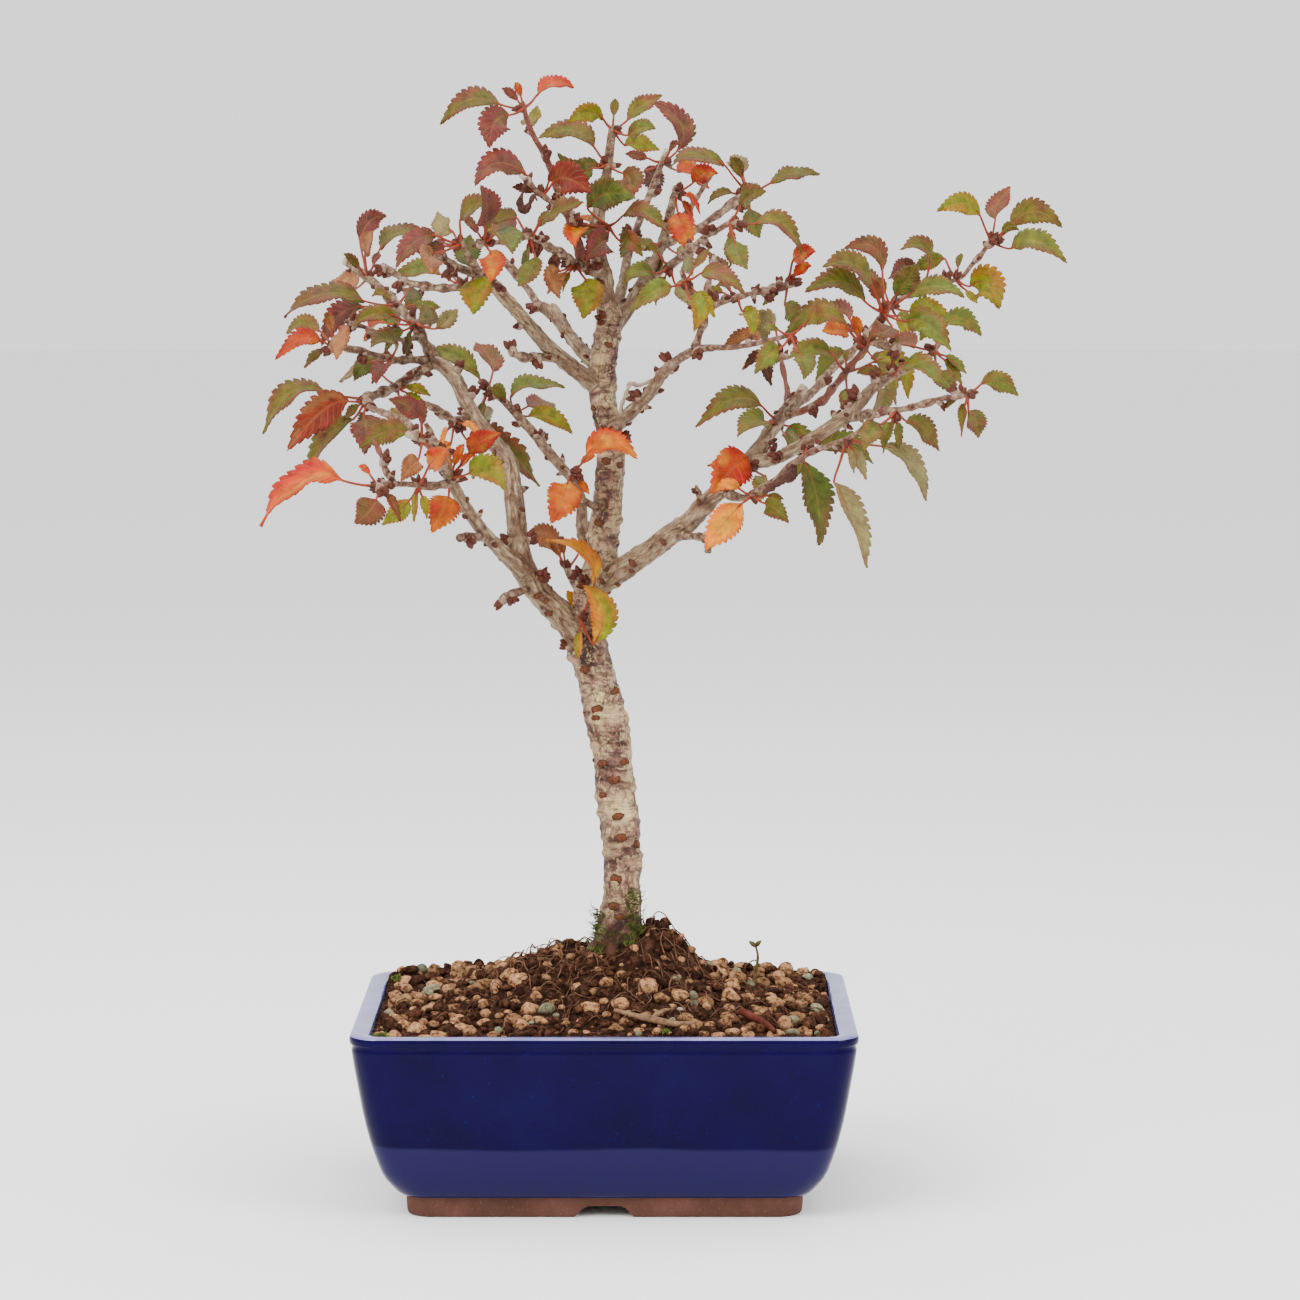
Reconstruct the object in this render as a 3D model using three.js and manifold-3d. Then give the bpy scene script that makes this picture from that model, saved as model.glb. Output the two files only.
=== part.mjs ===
// A fuji cherry bonsai in a glazed rectangular pot, in autumn leaf. Millimetres, +Z up.
// The origin is on the table, under the middle of the whole object.
import * as THREE from "three";
import { mergeVertices } from "three/addons/utils/BufferGeometryUtils.js";
import Module from "manifold-3d";

const wasm = await Module();
wasm.setup();

// Pot sizes
const POT_WIDTH = 200;
const POT_DEPTH = 150;
const POT_HEIGHT = 75;
const FOOT_HEIGHT = 7.5;
const FOOT_INSET = 21.5;
const FOOT_RING = 9;
const UNDERSIDE_HEIGHT = 5;
const RIM_WIDTH = 8;
const FLOOR_TOP = 13;
const CORNER_RADIUS = 12;
const NOTCH_WIDTH = 25;
const NOTCH_TOP_WIDTH = 16;
const NOTCH_HEIGHT = 4.7;
const DRAIN_RADIUS = 8;
const DRAIN_OFFSET = 38;
const CORNER_STEPS = 3;

// Soil sizes
const SOIL_EDGE = 71.5;
const MOUND_HEIGHT = 20;
const LUMP_HEIGHT = 13;
const GRAIN_COUNT = 22;

// The pot's long sides stand in less than its ends, by this share.
const SHORT_SIDE_INSET = 0.8;

// Shared clearances and finenesses
const GAP = 0.3;
const FINENESS = 0.18;
const LEAF_FINENESS = 0.1;
const SEAT_GAP = 0.35;
const RIB_PLACES = [0.45];
const LEAF_SLIMNESS = 0.42;
const BLADE_THICKNESS = 0.9;
const BLADE_FOLD = 0.32;
const STALK_RADIUS = 0.6;
const KNOT_MARGIN = 1.5;
const KNOT_POINT = 1.7;
const LEAST_KNOT = 1.6;
// Knots are turned about their height by up to this, in radians.
const KNOT_TURN = 3;
const SEAT_SLACK = 3;
// A leaf's foot and middle stand forward by these shares of its tip's lean.
const FOOT_LEAN = 0.35;
const MIDDLE_LEAN = 0.7;
// A stalk is this much wider where it leaves the twig.
const STALK_FLARE = 1.3;
// Stems thicker than these where they begin are drawn with seven and with five sides.
const THICK_STEM = 6;
const STOUT_STEM = 2.9;
// Three-sided twigs are a little wider, to hold as much wood as round ones.
const TWIG_FULLNESS = 1.2;

// The tree is drawn as it looks from the front, by an eye here. A point further back is spread
// away from the eye's own height and side, so that it keeps its place in that view.
const EYE = new THREE.Vector3(18, -1660, 388);
// Depths in the tables below are multiplied by this to give the crown its depth.
const CROWN_DEPTH = 1.4;

const TINTS = {
  bark: 0x9c8672,
  green: 0x7f9445,
  deep: 0x566b35,
  olive: 0x8a7f42,
  bronze: 0x84584a,
  crimson: 0x9c3434,
  plum: 0x6a3a48,
  lime: 0xa9b84e,
  tan: 0xa88462,
  coral: 0xe0653f,
  orange: 0xf08b2c,
  yellow: 0xf3b440,
  pale: 0xb0a68a,
  dry: 0x5a3a30,
  glaze: 0x16186e,
  soil: 0x5a4434,
};

const LEAF_ROUGHNESS = 0.6;
const ROUGHNESS = { glaze: 0.12, bark: 0.85, soil: 0.95 };

// Wood, as [x, depth, z, radius] along each stem. x and z are as seen from the front.
const STEMS = {
  "trunk": [[7, 0, 36, 6.5], [6, 0, 62, 8.2], [5.2, 0, 88, 9.2], [5, 0, 101, 9.4], [6, 0, 112, 8.1],
    [6.7, 0, 125, 7.4], [6.8, 0, 137, 7.7], [5.8, 0, 148, 7.9], [4.2, 1, 160, 8.2], [3.2, 1, 172, 7.9],
    [2.2, 2, 182, 8.2], [0, 2, 192, 8.7], [-2, 2, 202, 8.0], [-4.6, 2, 212, 7.9], [-7.5, 2, 221, 8.4],
    [-8, 1, 232, 6.6], [-6.5, 1, 242, 6.9], [-2.5, 1, 253, 6.7], [-1, 1, 264, 6.2], [0.5, 0, 276, 6.0],
    [1.8, 0, 288, 6.0], [2.2, 0, 298, 5.7], [1.5, 0, 308, 5.2], [-0.3, 0, 318, 5.5], [-1.2, 0, 327, 5.8],
    [-0.8, 0, 336, 5.2], [0.5, 1, 345, 5.3], [1.5, 2, 353, 5.2], [0, 3, 361, 4.2], [-0.6, 4, 370, 3.9],
    [-2.8, 4, 379, 3.5], [-3, 4, 389, 3.3], [-2, 5, 398, 2.8], [0.4, 6, 409, 2.2], [2, 8, 420, 1.9],
    [3, 9, 430, 1.6]],
  "left_limb": [[-7, 2, 219, 6], [-14, 0, 229, 5.8], [-20, -2, 236, 5.2], [-26, -4, 242, 4.9],
    [-31, -6, 249, 5.0], [-34, -6, 256, 4.6], [-35.2, -4, 265, 4.3], [-36.2, -2, 275, 4.1],
    [-37.2, 2, 285, 3.9], [-38.5, 6, 294, 3.7], [-43.5, 12, 302, 3.5], [-50, 18, 310, 3.4],
    [-55.5, 24, 319, 3.3], [-59.5, 28, 328, 3.1], [-65, 32, 334, 3.0], [-70, 34, 336, 2.8]],
  "left_low": [[-30, -6, 249, 4.0], [-38, -10, 256, 3.5], [-44, -16, 262, 3.0], [-50, -22, 268.5, 2.7],
    [-56, -28, 277, 2.5], [-61, -34, 286, 2.3], [-64, -40, 293, 2.1], [-68, -44, 300, 1.9],
    [-73, -47, 304, 1.6], [-77.5, -49, 306, 1.3]],
  "left_low_stub": [[-66, -42, 297, 1.5], [-69, -39, 305, 1.3], [-72, -37, 311, 1.1]],
  "left_low_runner": [[-61, -35, 287, 1.6], [-70, -44, 286, 1.4], [-78, -52, 286.5, 1.3],
    [-86, -58, 287, 1.2], [-92, -62, 285.5, 1.1]],
  "left_low_riser": [[-85, -57, 287, 1.2], [-88.5, -56, 293, 1.1], [-90.5, -53, 299, 1.0], [-93, -50, 305, 0.9]],
  "left_crossing": [[-65, -41, 295, 1.6], [-74, -34, 306, 1.4], [-82, -26, 312.5, 1.3], [-89, -20, 315.5, 1.3],
    [-95, -14, 318, 1.2]],
  "left_top_arm": [[-68, 34, 335, 2.4], [-72, 38, 343, 2.1], [-76, 42, 350, 2.0], [-82, 46, 357, 2.0],
    [-88, 50, 363.5, 2.1], [-95, 54, 369.5, 2.2], [-101, 57, 374.5, 2.1], [-104, 58, 376, 1.6]],
  "left_top_spur": [[-69, 34, 337, 1.8], [-73, 28, 346, 1.7], [-77, 24, 352, 1.4]],
  "left_side_twig": [[-74, 40, 346, 1.3], [-81, 36, 344.5, 1.1], [-88, 32, 346.5, 1.0], [-96, 28, 349.5, 1.0],
    [-104, 24, 352, 0.9]],
  "left_out_arm": [[-68, 34, 335.5, 2.0], [-76, 30, 336.5, 1.8], [-83, 24, 336.5, 1.6], [-90, 18, 338, 1.4],
    [-97, 12, 340, 1.3], [-104, 7, 341.3, 1.2], [-110, 2, 342.5, 1.0]],
  "left_down_arm": [[-69, 34, 335, 2.2], [-75, 28, 331.5, 2.1], [-80, 22, 328, 2.0], [-86, 16, 325, 1.9],
    [-92, 10, 322.5, 2.0], [-97, 5, 320.5, 1.8]],
  "left_inner_twig": [[-53, 22, 314, 1.8], [-60, 14, 312.5, 1.5], [-66, 8, 316, 1.4], [-72, 3, 319, 1.2]],
  "back_arm": [[-4, 3, 256, 3.4], [-9, 9, 267, 2.6], [-9.5, 14, 278, 2.4], [-12, 18, 287, 2.3],
    [-18, 21, 294, 2.3], [-24, 24, 301, 2.2], [-29, 26, 307.5, 2.1], [-34, 27, 313, 2.1],
    [-39, 28, 318.5, 1.8], [-45, 28, 324, 1.6], [-51, 29, 328.5, 1.3]],
  "knotty_spur": [[-1, -1, 276, 1.8], [-9, -7, 280.5, 1.6], [-13, -9, 285, 1.6], [-13.5, -10, 292, 1.3]],
  "back_stub": [[-8, 3, 241, 2.6], [-13, 10, 248, 2.0], [-16, 14, 254, 1.6]],
  "upper_left_arm": [[-2, 0, 326, 4.2], [-11, -5, 332, 3.6], [-18, -9, 337.5, 3.3], [-24, -13, 343, 3.1],
    [-30, -17, 350, 2.9], [-36, -21, 357, 2.8], [-42, -25, 363.5, 2.7], [-47, -28, 369, 2.4],
    [-53, -31, 371.5, 2.0], [-60, -35, 374, 1.8], [-67, -39, 378.5, 1.7], [-74, -42, 381.5, 1.5]],
  "upper_left_flat": [[-46, -28, 367.5, 2.0], [-56, -24, 366, 1.8], [-64, -20, 365, 1.7], [-72, -17, 366, 1.6],
    [-79, -15, 368, 1.5], [-85, -14, 371.5, 1.4], [-89, -14, 374, 1.2]],
  "upper_left_riser": [[-49, -29, 370, 1.5], [-54, -37, 377, 1.4], [-58, -42, 385, 1.3]],
  "upper_left_low": [[-17, -8, 337, 2.0], [-26, -17, 338, 1.8], [-32, -23, 337.5, 1.7], [-37.5, -29, 339, 1.6]],
  "rear_left_arm": [[-1, 2, 332, 3.4], [-9, 11, 340, 2.9], [-14, 18, 346, 2.8], [-18, 23, 352, 2.9],
    [-21.5, 27, 357.5, 2.9]],
  "rear_left_twig": [[-20, 25, 354, 2.2], [-27, 30, 359, 1.8], [-31, 34, 365, 1.6], [-36, 38, 371, 1.5],
    [-42, 42, 379, 1.3]],
  "crown_left_stub": [[-1, 3, 371, 2.8], [-8, 0, 374, 2.6], [-10, -5, 380, 2.4], [-12, -9, 387, 2.2],
    [-14, -12, 393, 2.0], [-16, -13, 399, 1.8], [-19, -14, 404, 1.6], [-21, -15, 411, 1.5],
    [-24, -16, 418, 1.4], [-28, -17, 425, 1.3], [-31, -18, 432, 1.2], [-33, -18, 440, 1.1]],
  "crown_left_cut": [[-14, -12, 394, 1.3], [-20, -18, 398.5, 1.1], [-26, -23, 403, 1.0], [-32.5, -28, 409, 0.9]],
  "crown_left_arm": [[-6, 2, 373, 2.0], [-13, -8, 376, 1.8], [-19, -16, 380, 1.7], [-25, -23, 383, 1.7],
    [-31, -29, 386, 1.5], [-38, -35, 384, 1.2], [-46, -42, 383.5, 1.1], [-51, -46, 384, 1.0]],
  "crown_right_arm": [[1, 2, 348, 4.2], [9, 6, 357, 3.0], [14, 10, 366, 2.6], [18.5, 14, 373, 2.4],
    [22, 18, 381, 2.2], [24.5, 20, 389, 2.1], [26.5, 22, 397, 2.0], [28.5, 24, 405, 1.7]],
  "crown_front_arm": [[14, 9, 365.5, 1.8], [21, 2, 370.5, 1.4], [27, -6, 375, 1.4], [33, -13, 379.5, 1.4],
    [39, -20, 385, 1.3], [46, -26, 389, 1.3], [52, -31, 392.5, 1.2]],
  "crown_back_cut": [[23, 19, 383, 1.7], [31, 28, 386, 1.5], [38, 35, 389.5, 1.5], [46, 42, 395.5, 1.5],
    [53, 48, 400.5, 1.5], [59, 52, 404.8, 1.2]],
  "crown_thin_cut": [[25, 21, 391, 1.3], [32, 30, 395, 1.1], [37, 37, 402, 1.0], [42, 44, 409.5, 0.8]],
  "crown_rear_stem": [[2.5, 2, 352, 2.8], [7, 14, 366, 2.3], [9, 24, 378, 2.0], [13, 33, 390, 1.7],
    [18, 42, 403, 1.6], [24.5, 50, 419.5, 1.4]],
  "right_limb": [[-5, 1, 246, 5.6], [4, -2, 250.5, 5.0], [12, -6, 256, 4.7], [20, -10, 261.5, 4.4],
    [27, -14, 267, 4.4], [34, -18, 271.5, 4.0], [39.5, -22, 278, 3.9], [46, -24, 284, 3.6],
    [53, -24, 290, 3.5], [59, -22, 297, 3.5], [63.5, -18, 303.5, 3.0], [67.5, -14, 309.5, 2.9],
    [72, -10, 315.5, 2.9], [76, -6, 320, 2.4], [79, -4, 324.5, 1.9]],
  "right_big_arm": [[58, -22, 295.5, 3.0], [68, -28, 297, 2.7], [75, -34, 300, 2.6], [83, -40, 305, 2.6],
    [91, -44, 310, 2.7], [97, -46, 314, 2.9], [102, -44, 319, 2.6], [107, -41, 325, 2.3],
    [114, -38, 329.5, 1.9], [121, -34, 333, 1.6], [128, -30, 336.5, 1.4], [134.5, -26, 343.5, 1.1]],
  "right_long_twig": [[95, -45, 312.5, 2.2], [104, -52, 314.5, 1.8], [112, -58, 316, 1.5], [120, -62, 317, 1.4],
    [127, -66, 318.5, 1.3], [135, -70, 321, 1.1], [141, -73, 322, 1.0], [147, -75, 323.7, 0.9]],
  "right_dark_twig": [[46, -23, 284, 1.9], [55, -32, 281, 1.5], [62, -38, 284.5, 1.4], [70, -45, 290, 1.3],
    [77, -51, 296, 1.2], [84, -55, 300, 1.1], [92, -59, 303, 1.1], [98, -63, 305.5, 1.0],
    [103.5, -67, 309.5, 0.9], [109, -71, 315, 0.8]],
  "right_back_arm": [[70, -12, 312.5, 2.2], [78, -2, 319.5, 2.0], [84, 4, 325, 1.9], [90, 9, 331.5, 1.8],
    [97, 14, 338, 1.7], [103, 18, 344.5, 1.6], [109, 22, 351, 1.5], [113, 26, 357, 1.3], [118, 30, 361, 1.2],
    [125, 34, 363.5, 1.1], [131, 38, 366, 1.1], [137, 41, 367.5, 1.1], [143, 44, 370, 1.1], [148, 48, 376, 1.1],
    [152, 50, 381, 1.1], [155, 52, 385, 0.9]],
  "right_red_shoot": [[71, -11, 314, 1.9], [79, -14, 316.5, 1.8], [86, -17, 319.5, 1.7], [92, -22, 326, 1.5],
    [97, -26, 332.5, 1.4], [102, -29, 339, 1.3], [107, -31, 345.5, 1.2], [110, -32, 351, 1.1],
    [112, -33, 357, 0.9]],
  "right_bud_spur": [[105, -30, 343.5, 1.4], [112, -34, 342.5, 1.5], [118, -38, 341.5, 1.4]],
  "right_upright": [[73, -9, 315.5, 1.3], [73, -2, 324, 1.0], [71.5, 4, 332, 1.0], [70.5, 10, 340, 0.9]],
  "middle_right_arm": [[1, 0, 308, 3.6], [8, -7, 313.5, 3.0], [14, -13, 319, 2.7], [19, -19, 325, 2.5],
    [23.5, -24, 331.5, 2.4], [29, -30, 336.5, 2.0], [35, -35, 340, 1.9], [42, -40, 341.5, 1.6],
    [50, -46, 341.5, 1.3], [57, -51, 342.5, 1.3], [64, -56, 344, 1.4], [70, -60, 345.5, 1.2], [76, -63, 347, 1.0]],
  "middle_right_riser": [[35.5, -35.5, 340, 1.8], [38, -37, 347, 1.6], [39, -37, 353, 1.6], [38.5, -37, 358, 1.7],
    [35, -38, 362, 1.5], [32.5, -40, 367, 1.3], [30.5, -42, 372, 1.1]],
  "middle_right_cut": [[38.5, -37, 355, 1.4], [41, -31, 365, 1.1], [43.5, -26, 376.5, 0.9]],
  "middle_right_out": [[38, -37, 356.5, 1.4], [46, -29, 359.5, 1.2], [54, -22, 362, 1.1], [62, -16, 364, 1.1],
    [69, -11, 366, 1.0], [74, -8, 367.3, 0.9]],
  "left_spur_a": [[-27, -4, 246, 1.6], [-36, -13, 243, 1.4], [-41, -17, 241, 1.6]],
  "left_spur_b": [[-46, -18, 265, 1.7], [-53, -27, 265.5, 1.5], [-59, -33, 265, 1.5]],
  "right_spur_a": [[28, -14, 266, 1.8], [36, -25, 266, 1.6], [41, -31, 264, 1.5], [41.5, -33, 259, 1.2]],
  "right_spur_b": [[39.5, -21, 277, 1.3], [37.5, -17, 283, 1.0], [36.5, -15, 286, 0.8]],
};

// Leaves, spray by spray. Each grows from a knot of buds at the seat, [x, depth, z] on its twig.
// A leaf is its foot x z, its middle x z and its tip x z, all as seen from the front, then the width
// that is seen, how far back of the seat its tip lies, and its colour.
const SPRAYS = {
  "spray_far_left_crest": { "seat": [-95, 54, 369.5], "leaves": [
    [-98, 384, -94, 392, -87, 394, 9, 14, "plum"],
    [-96, 378, -95, 383, -93, 388, 6, -17, "tan"],
    [-90, 381, -82, 387.5, -71, 388, 7, 22, "olive"],
    [-100, 365, -104, 368, -110, 368, 8, 24, "tan"]] },
  "spray_far_left_plum": { "seat": [-83, 46, 358.5], "leaves": [
    [-83, 350, -90, 352, -97, 344, 8, 30, "coral"],
    [-96, 360, -112, 363, -129, 354, 8, -8, "olive"],
    [-97, 358, -107, 354, -114, 342, 10, 12, "plum"],
    [-78, 366, -77, 362, -80, 356, 9, 22, "green"]] },
  "spray_left_inner_crest": { "seat": [-76.5, 24.5, 351.5], "leaves": [
    [-84, 354, -93, 355, -101, 350, 7, -9, "olive"],
    [-70, 350, -71, 354, -73, 359, 8, -18, "pale"],
    [-68, 349, -63, 353, -59, 357, 7, 4, "pale"],
    [-83, 351, -86, 354, -89, 356, 6, 13, "deep"]] },
  "spray_left_point": { "seat": [-108, 3.5, 342.2], "leaves": [
    [-106, 350, -106, 345, -108, 337, 8, -20, "tan"],
    [-114, 348, -122, 351, -128, 347, 6, 16, "olive"],
    [-113, 344, -122, 345, -132.5, 337, 7, -7, "coral"]] },
  "spray_left_underside": { "seat": [-86, 21.3, 337], "leaves": [
    [-83, 343, -88, 345, -94, 342, 7, -24, "olive"],
    [-88, 335, -90, 333, -92, 327, 7, -18, "plum"],
    [-93, 336, -97, 334, -101, 328, 7, 10, "deep"]] },
  "spray_back_arm_left": { "seat": [-47, 28.3, 325.5], "leaves": [
    [-51, 330, -60, 338, -70, 341, 8, 12, "green"],
    [-50, 318, -49, 314, -46, 308, 8, 20, "pale"],
    [-45, 332, -47, 338, -52, 344, 8, 26, "bronze"]] },
  "spray_back_arm_right": { "seat": [-37, 27.5, 316], "leaves": [
    [-38, 322, -29, 327, -16, 325.5, 6, 16, "green"],
    [-31, 318, -26, 319, -20, 319, 6, 26, "bronze"],
    [-31, 314, -22, 314, -13, 307, 7, 10, "lime"]] },
  "spray_upper_left_fan": { "seat": [-57.5, -41, 383], "leaves": [
    [-67, 386, -76, 384, -84, 373, 9, -12, "crimson"],
    [-58, 392, -53, 398, -44, 400, 7, -16, "yellow"],
    [-69, 379, -70, 377, -69, 371, 8, -26, "tan"],
    [-61, 388, -65, 390, -67, 396, 8, 16, "pale"]] },
  "spray_upper_left_mat": { "seat": [-56, -24, 366], "leaves": [
    [-53, 369, -52, 364, -53, 355, 13, -20, "lime"],
    [-54, 374, -55, 380, -54, 387, 11, 12, "deep"],
    [-66, 371, -75, 373, -85, 370, 7, 14, "green"]] },
  "spray_crown_left_end": { "seat": [-48, -43.5, 383.7], "leaves": [
    [-48, 390, -47, 397, -49, 406, 8, -26, "plum"],
    [-46, 380, -45, 375, -46, 368, 10, -21, "orange"],
    [-43, 388, -40, 386, -37, 379, 8, -28, "green"]] },
  "spray_crown_left_mid": { "seat": [-30, -28, 385.5], "leaves": [
    [-35, 393, -41, 394, -48, 391, 6, 12, "yellow"],
    [-36, 389, -42, 389, -49, 385, 7, 26, "bronze"],
    [-26, 392, -18, 396, -9, 400, 6, -22, "olive"],
    [-28, 378, -30, 372, -35, 366, 8, -18, "green"]] },
  "spray_crown_crimson": { "seat": [-25, -22, 402.2], "leaves": [
    [-31, 410, -43, 415, -52, 406, 10, -12, "plum"],
    [-21, 407, -15, 409, -5, 403, 14, -10, "crimson"]] },
  "spray_crown_left_tip": { "seat": [-32, -18, 437], "leaves": [
    [-41, 438, -54, 440, -66, 430.5, 8, 6, "olive"],
    [-38, 434, -44, 431, -46, 421, 13, -14, "plum"],
    [-31, 430, -29, 432, -27, 438, 6, 18, "lime"],
    [-27, 442, -20, 447, -12, 445, 6, 14, "coral"]] },
  "spray_crown_top_left": { "seat": [1.2, 6.8, 414.5], "leaves": [
    [-4, 421, -13, 428, -27, 425, 8, 12, "olive"],
    [-5, 413, -11, 412, -19, 419, 9, -14, "deep"],
    [7, 411, 10, 408, 9, 400, 12, -12, "bronze"]] },
  "spray_crown_top": { "seat": [3, 9, 428.5], "leaves": [
    [-1, 433, -7, 435, -15, 431, 8, -10, "yellow"],
    [9, 432, 15, 438, 23, 442, 7, 8, "olive"],
    [9, 426, 14, 429, 20, 429, 7, -17, "green"],
    [8, 422, 14, 423, 22, 420, 7, 12, "lime"]] },
  "spray_crown_rear": { "seat": [23, 48.5, 415.5], "leaves": [
    [29, 420, 30, 431, 17, 440.5, 9, 8, "crimson"],
    [16, 412, 19, 409, 20, 401, 10, 16, "plum"],
    [29, 412, 35, 411, 42, 405, 8, 24, "orange"]] },
  "spray_crown_right_high": { "seat": [57, 50.5, 403.5], "leaves": [
    [48, 414, 37, 418, 26, 414, 7, -16, "olive"],
    [55, 411, 53, 415, 50, 418, 8, 20, "pale"],
    [66, 407, 75, 411, 86, 411, 6, 8, "olive"],
    [58, 397, 59, 392, 62, 385, 9, 18, "green"]] },
  "spray_crown_right_arm": { "seat": [28, 23.6, 403.5], "leaves": [
    [35, 407, 39, 411, 45, 411, 8, -16, "coral"],
    [29, 396, 31, 389, 34, 380, 11, -14, "orange"]] },
  "spray_crown_centre": { "seat": [1.5, 1.5, 390], "leaves": [
    [7, 394, 15, 396, 25, 388, 7, -13, "yellow"],
    [1, 384, -2, 383, -8, 376, 12, -18, "plum"],
    [6, 384, 10, 384, 15, 378, 8, -16, "olive"],
    [-9, 391, -12, 388, -12, 382, 9, -22, "orange"],
    [-7, 397, 1, 403, 12, 401, 13, -20, "deep"]] },
  "spray_crown_right_mid": { "seat": [23, 19, 383.7], "leaves": [
    [18, 382, 12, 382, 6, 378, 7, -24, "green"],
    [29, 379, 32, 377, 35, 370, 8, 22, "pale"],
    [21, 376, 19, 372, 20, 365, 7, 24, "coral"]] },
  "spray_crown_lime": { "seat": [-12, -7, 375.7], "leaves": [
    [-18, 372, -21, 369, -18, 361, 8, -20, "tan"],
    [-8, 369, -7, 363, -9, 353, 13, -18, "lime"]] },
  "spray_crown_front": { "seat": [26, -4.5, 374.2], "leaves": [
    [20, 371, 14, 372, 7, 367, 7, -18, "green"],
    [28, 367, 32, 364, 35, 357, 8, -12, "pale"]] },
  "spray_crown_front_end": { "seat": [50, -30, 391.5], "leaves": [
    [60, 391, 71, 391, 79, 378.5, 7, 6, "olive"],
    [52, 384, 53, 379, 57, 373, 9, -18, "green"],
    [54, 398, 58, 402, 64, 404, 8, -22, "crimson"]] },
  "spray_riser_top": { "seat": [32, -40.4, 368.3], "leaves": [
    [27, 366, 20, 364, 10, 356, 8, -8, "green"],
    [38, 371, 46, 371, 56, 363, 7, -14, "olive"],
    [34, 361, 37, 358, 36, 348, 8, -18, "yellow"]] },
  "spray_middle_twig": { "seat": [53, -23, 361.8], "leaves": [
    [55, 356, 58, 354, 59, 346, 7, -16, "lime"],
    [47, 368, 46, 373, 41, 380, 7, 14, "olive"]] },
  "spray_middle_tip": { "seat": [73, -8.5, 367.1], "leaves": [
    [75, 376, 79, 379, 84, 380, 7, -18, "coral"],
    [72, 359, 75, 356, 77, 349, 8, 16, "green"]] },
  "spray_inner_right": { "seat": [70.7, 9.5, 339], "leaves": [
    [68, 350, 64, 352, 64, 342, 9, 18, "pale"],
    [62, 344, 56, 346, 47, 342, 6, 12, "tan"],
    [66, 336, 65, 333, 67, 326, 5, 8, "dry"]] },
  "spray_middle_end": { "seat": [74.5, -62.3, 346.6], "leaves": [
    [80, 351, 88, 355, 97, 351, 8, -12, "olive"],
    [70, 341, 66, 339, 60, 331, 9, -12, "green"],
    [77, 340, 80, 336, 80, 329, 8, -18, "orange"]] },
  "spray_shoot_high": { "seat": [104, -30, 341.5], "leaves": [
    [96, 351, 85, 355, 71, 345, 9, 6, "green"],
    [98, 348, 93, 349, 87, 348, 7, -18, "orange"]] },
  "spray_shoot_low": { "seat": [96.5, -25.6, 331.7], "leaves": [
    [91, 339, 83, 341, 73, 337, 7, -16, "green"],
    [108, 336, 118, 335, 122, 321, 8, 10, "lime"],
    [97, 325, 98, 321, 104, 311, 9, 16, "green"]] },
  "spray_back_arm_green": { "seat": [103, 18, 344.5], "leaves": [
    [107, 338, 113, 332, 117, 318, 9, 16, "olive"],
    [98, 353, 94, 357, 86, 356, 7, 16, "plum"],
    [96, 340, 90, 336, 84, 328, 9, 18, "green"]] },
  "spray_big_arm_end": { "seat": [132, -27.5, 341], "leaves": [
    [135, 350, 143, 353, 151, 346, 8, 10, "green"],
    [133, 333, 136, 329, 142, 322, 8, -16, "green"],
    [124, 342, 119, 344, 112, 341, 7, 24, "bronze"]] },
  "spray_big_arm_mid": { "seat": [115, -37.5, 330], "leaves": [
    [119, 335, 127, 334, 136, 327, 8, -22, "green"],
    [110, 325, 111, 320, 110, 313, 8, 18, "olive"]] },
  "spray_long_twig": { "seat": [117, -60.5, 316.6], "leaves": [
    [121, 312, 128, 309, 134.5, 300, 8, 14, "olive"],
    [111, 311, 107, 308, 104, 300, 8, -18, "yellow"]] },
  "spray_long_twig_tip": { "seat": [145.5, -74.5, 323.4], "leaves": [
    [151, 327, 158, 328, 166, 322, 8, 10, "green"],
    [146, 316, 149, 312, 150, 305, 8, 14, "olive"]] },
  "spray_hanging_green": { "seat": [81, -39, 304], "leaves": [
    [85, 300, 97, 303, 108, 295, 9, 12, "green"],
    [80, 296, 85, 281, 86.5, 262, 12, -6, "deep"]] },
  "spray_hanging_pale": { "seat": [97, -62.4, 305.2], "leaves": [
    [111, 302, 123, 296, 129.5, 280, 7, 6, "pale"],
    [92, 288, 100, 273, 106, 253, 8, -4, "pale"]] },
  "spray_limb_green": { "seat": [69.5, -12.5, 312.3], "leaves": [
    [63, 318, 52, 321, 36, 310, 9, -12, "olive"],
    [72, 307, 76, 305, 78, 297, 14, 26, "green"],
    [64, 312, 60, 312, 53, 306, 8, -26, "green"]] },
  "spray_limb_flame": { "seat": [58, -25, 294.5], "leaves": [
    [57, 298, 51, 293, 42, 283, 16, -12, "crimson"],
    [64, 290, 63, 286, 60, 279, 7, 18, "lime"]] },
  "spray_limb_gold": { "seat": [59, -35.7, 282.8], "leaves": [
    [55, 279, 48, 271, 40, 260, 13, -8, "yellow"],
    [64, 279, 68, 277, 74, 271, 8, -12, "orange"]] },
  "spray_shoot_crest": { "seat": [111.6, -32.8, 355.5], "leaves": [
    [107, 366, 99, 375, 87, 374, 8, -16, "olive"],
    [111, 372, 107, 382, 95, 381, 8, 6, "bronze"],
    [104, 360, 94, 368, 80, 364, 9, -10, "olive"],
    [116, 362, 121, 369, 125, 375, 10, -14, "deep"],
    [120, 352, 129, 351, 139, 340, 11, -18, "green"],
    [115, 350, 112, 348, 106, 347, 8, -24, "bronze"]] },
  "spray_back_fan": { "seat": [114.5, 27.4, 358.3], "leaves": [
    [121, 362, 132, 366, 144, 362, 8, -12, "yellow"],
    [122, 356, 130, 357, 140, 352, 9, 12, "lime"],
    [109, 364, 106, 369, 101, 375, 8, 18, "orange"]] },
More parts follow.
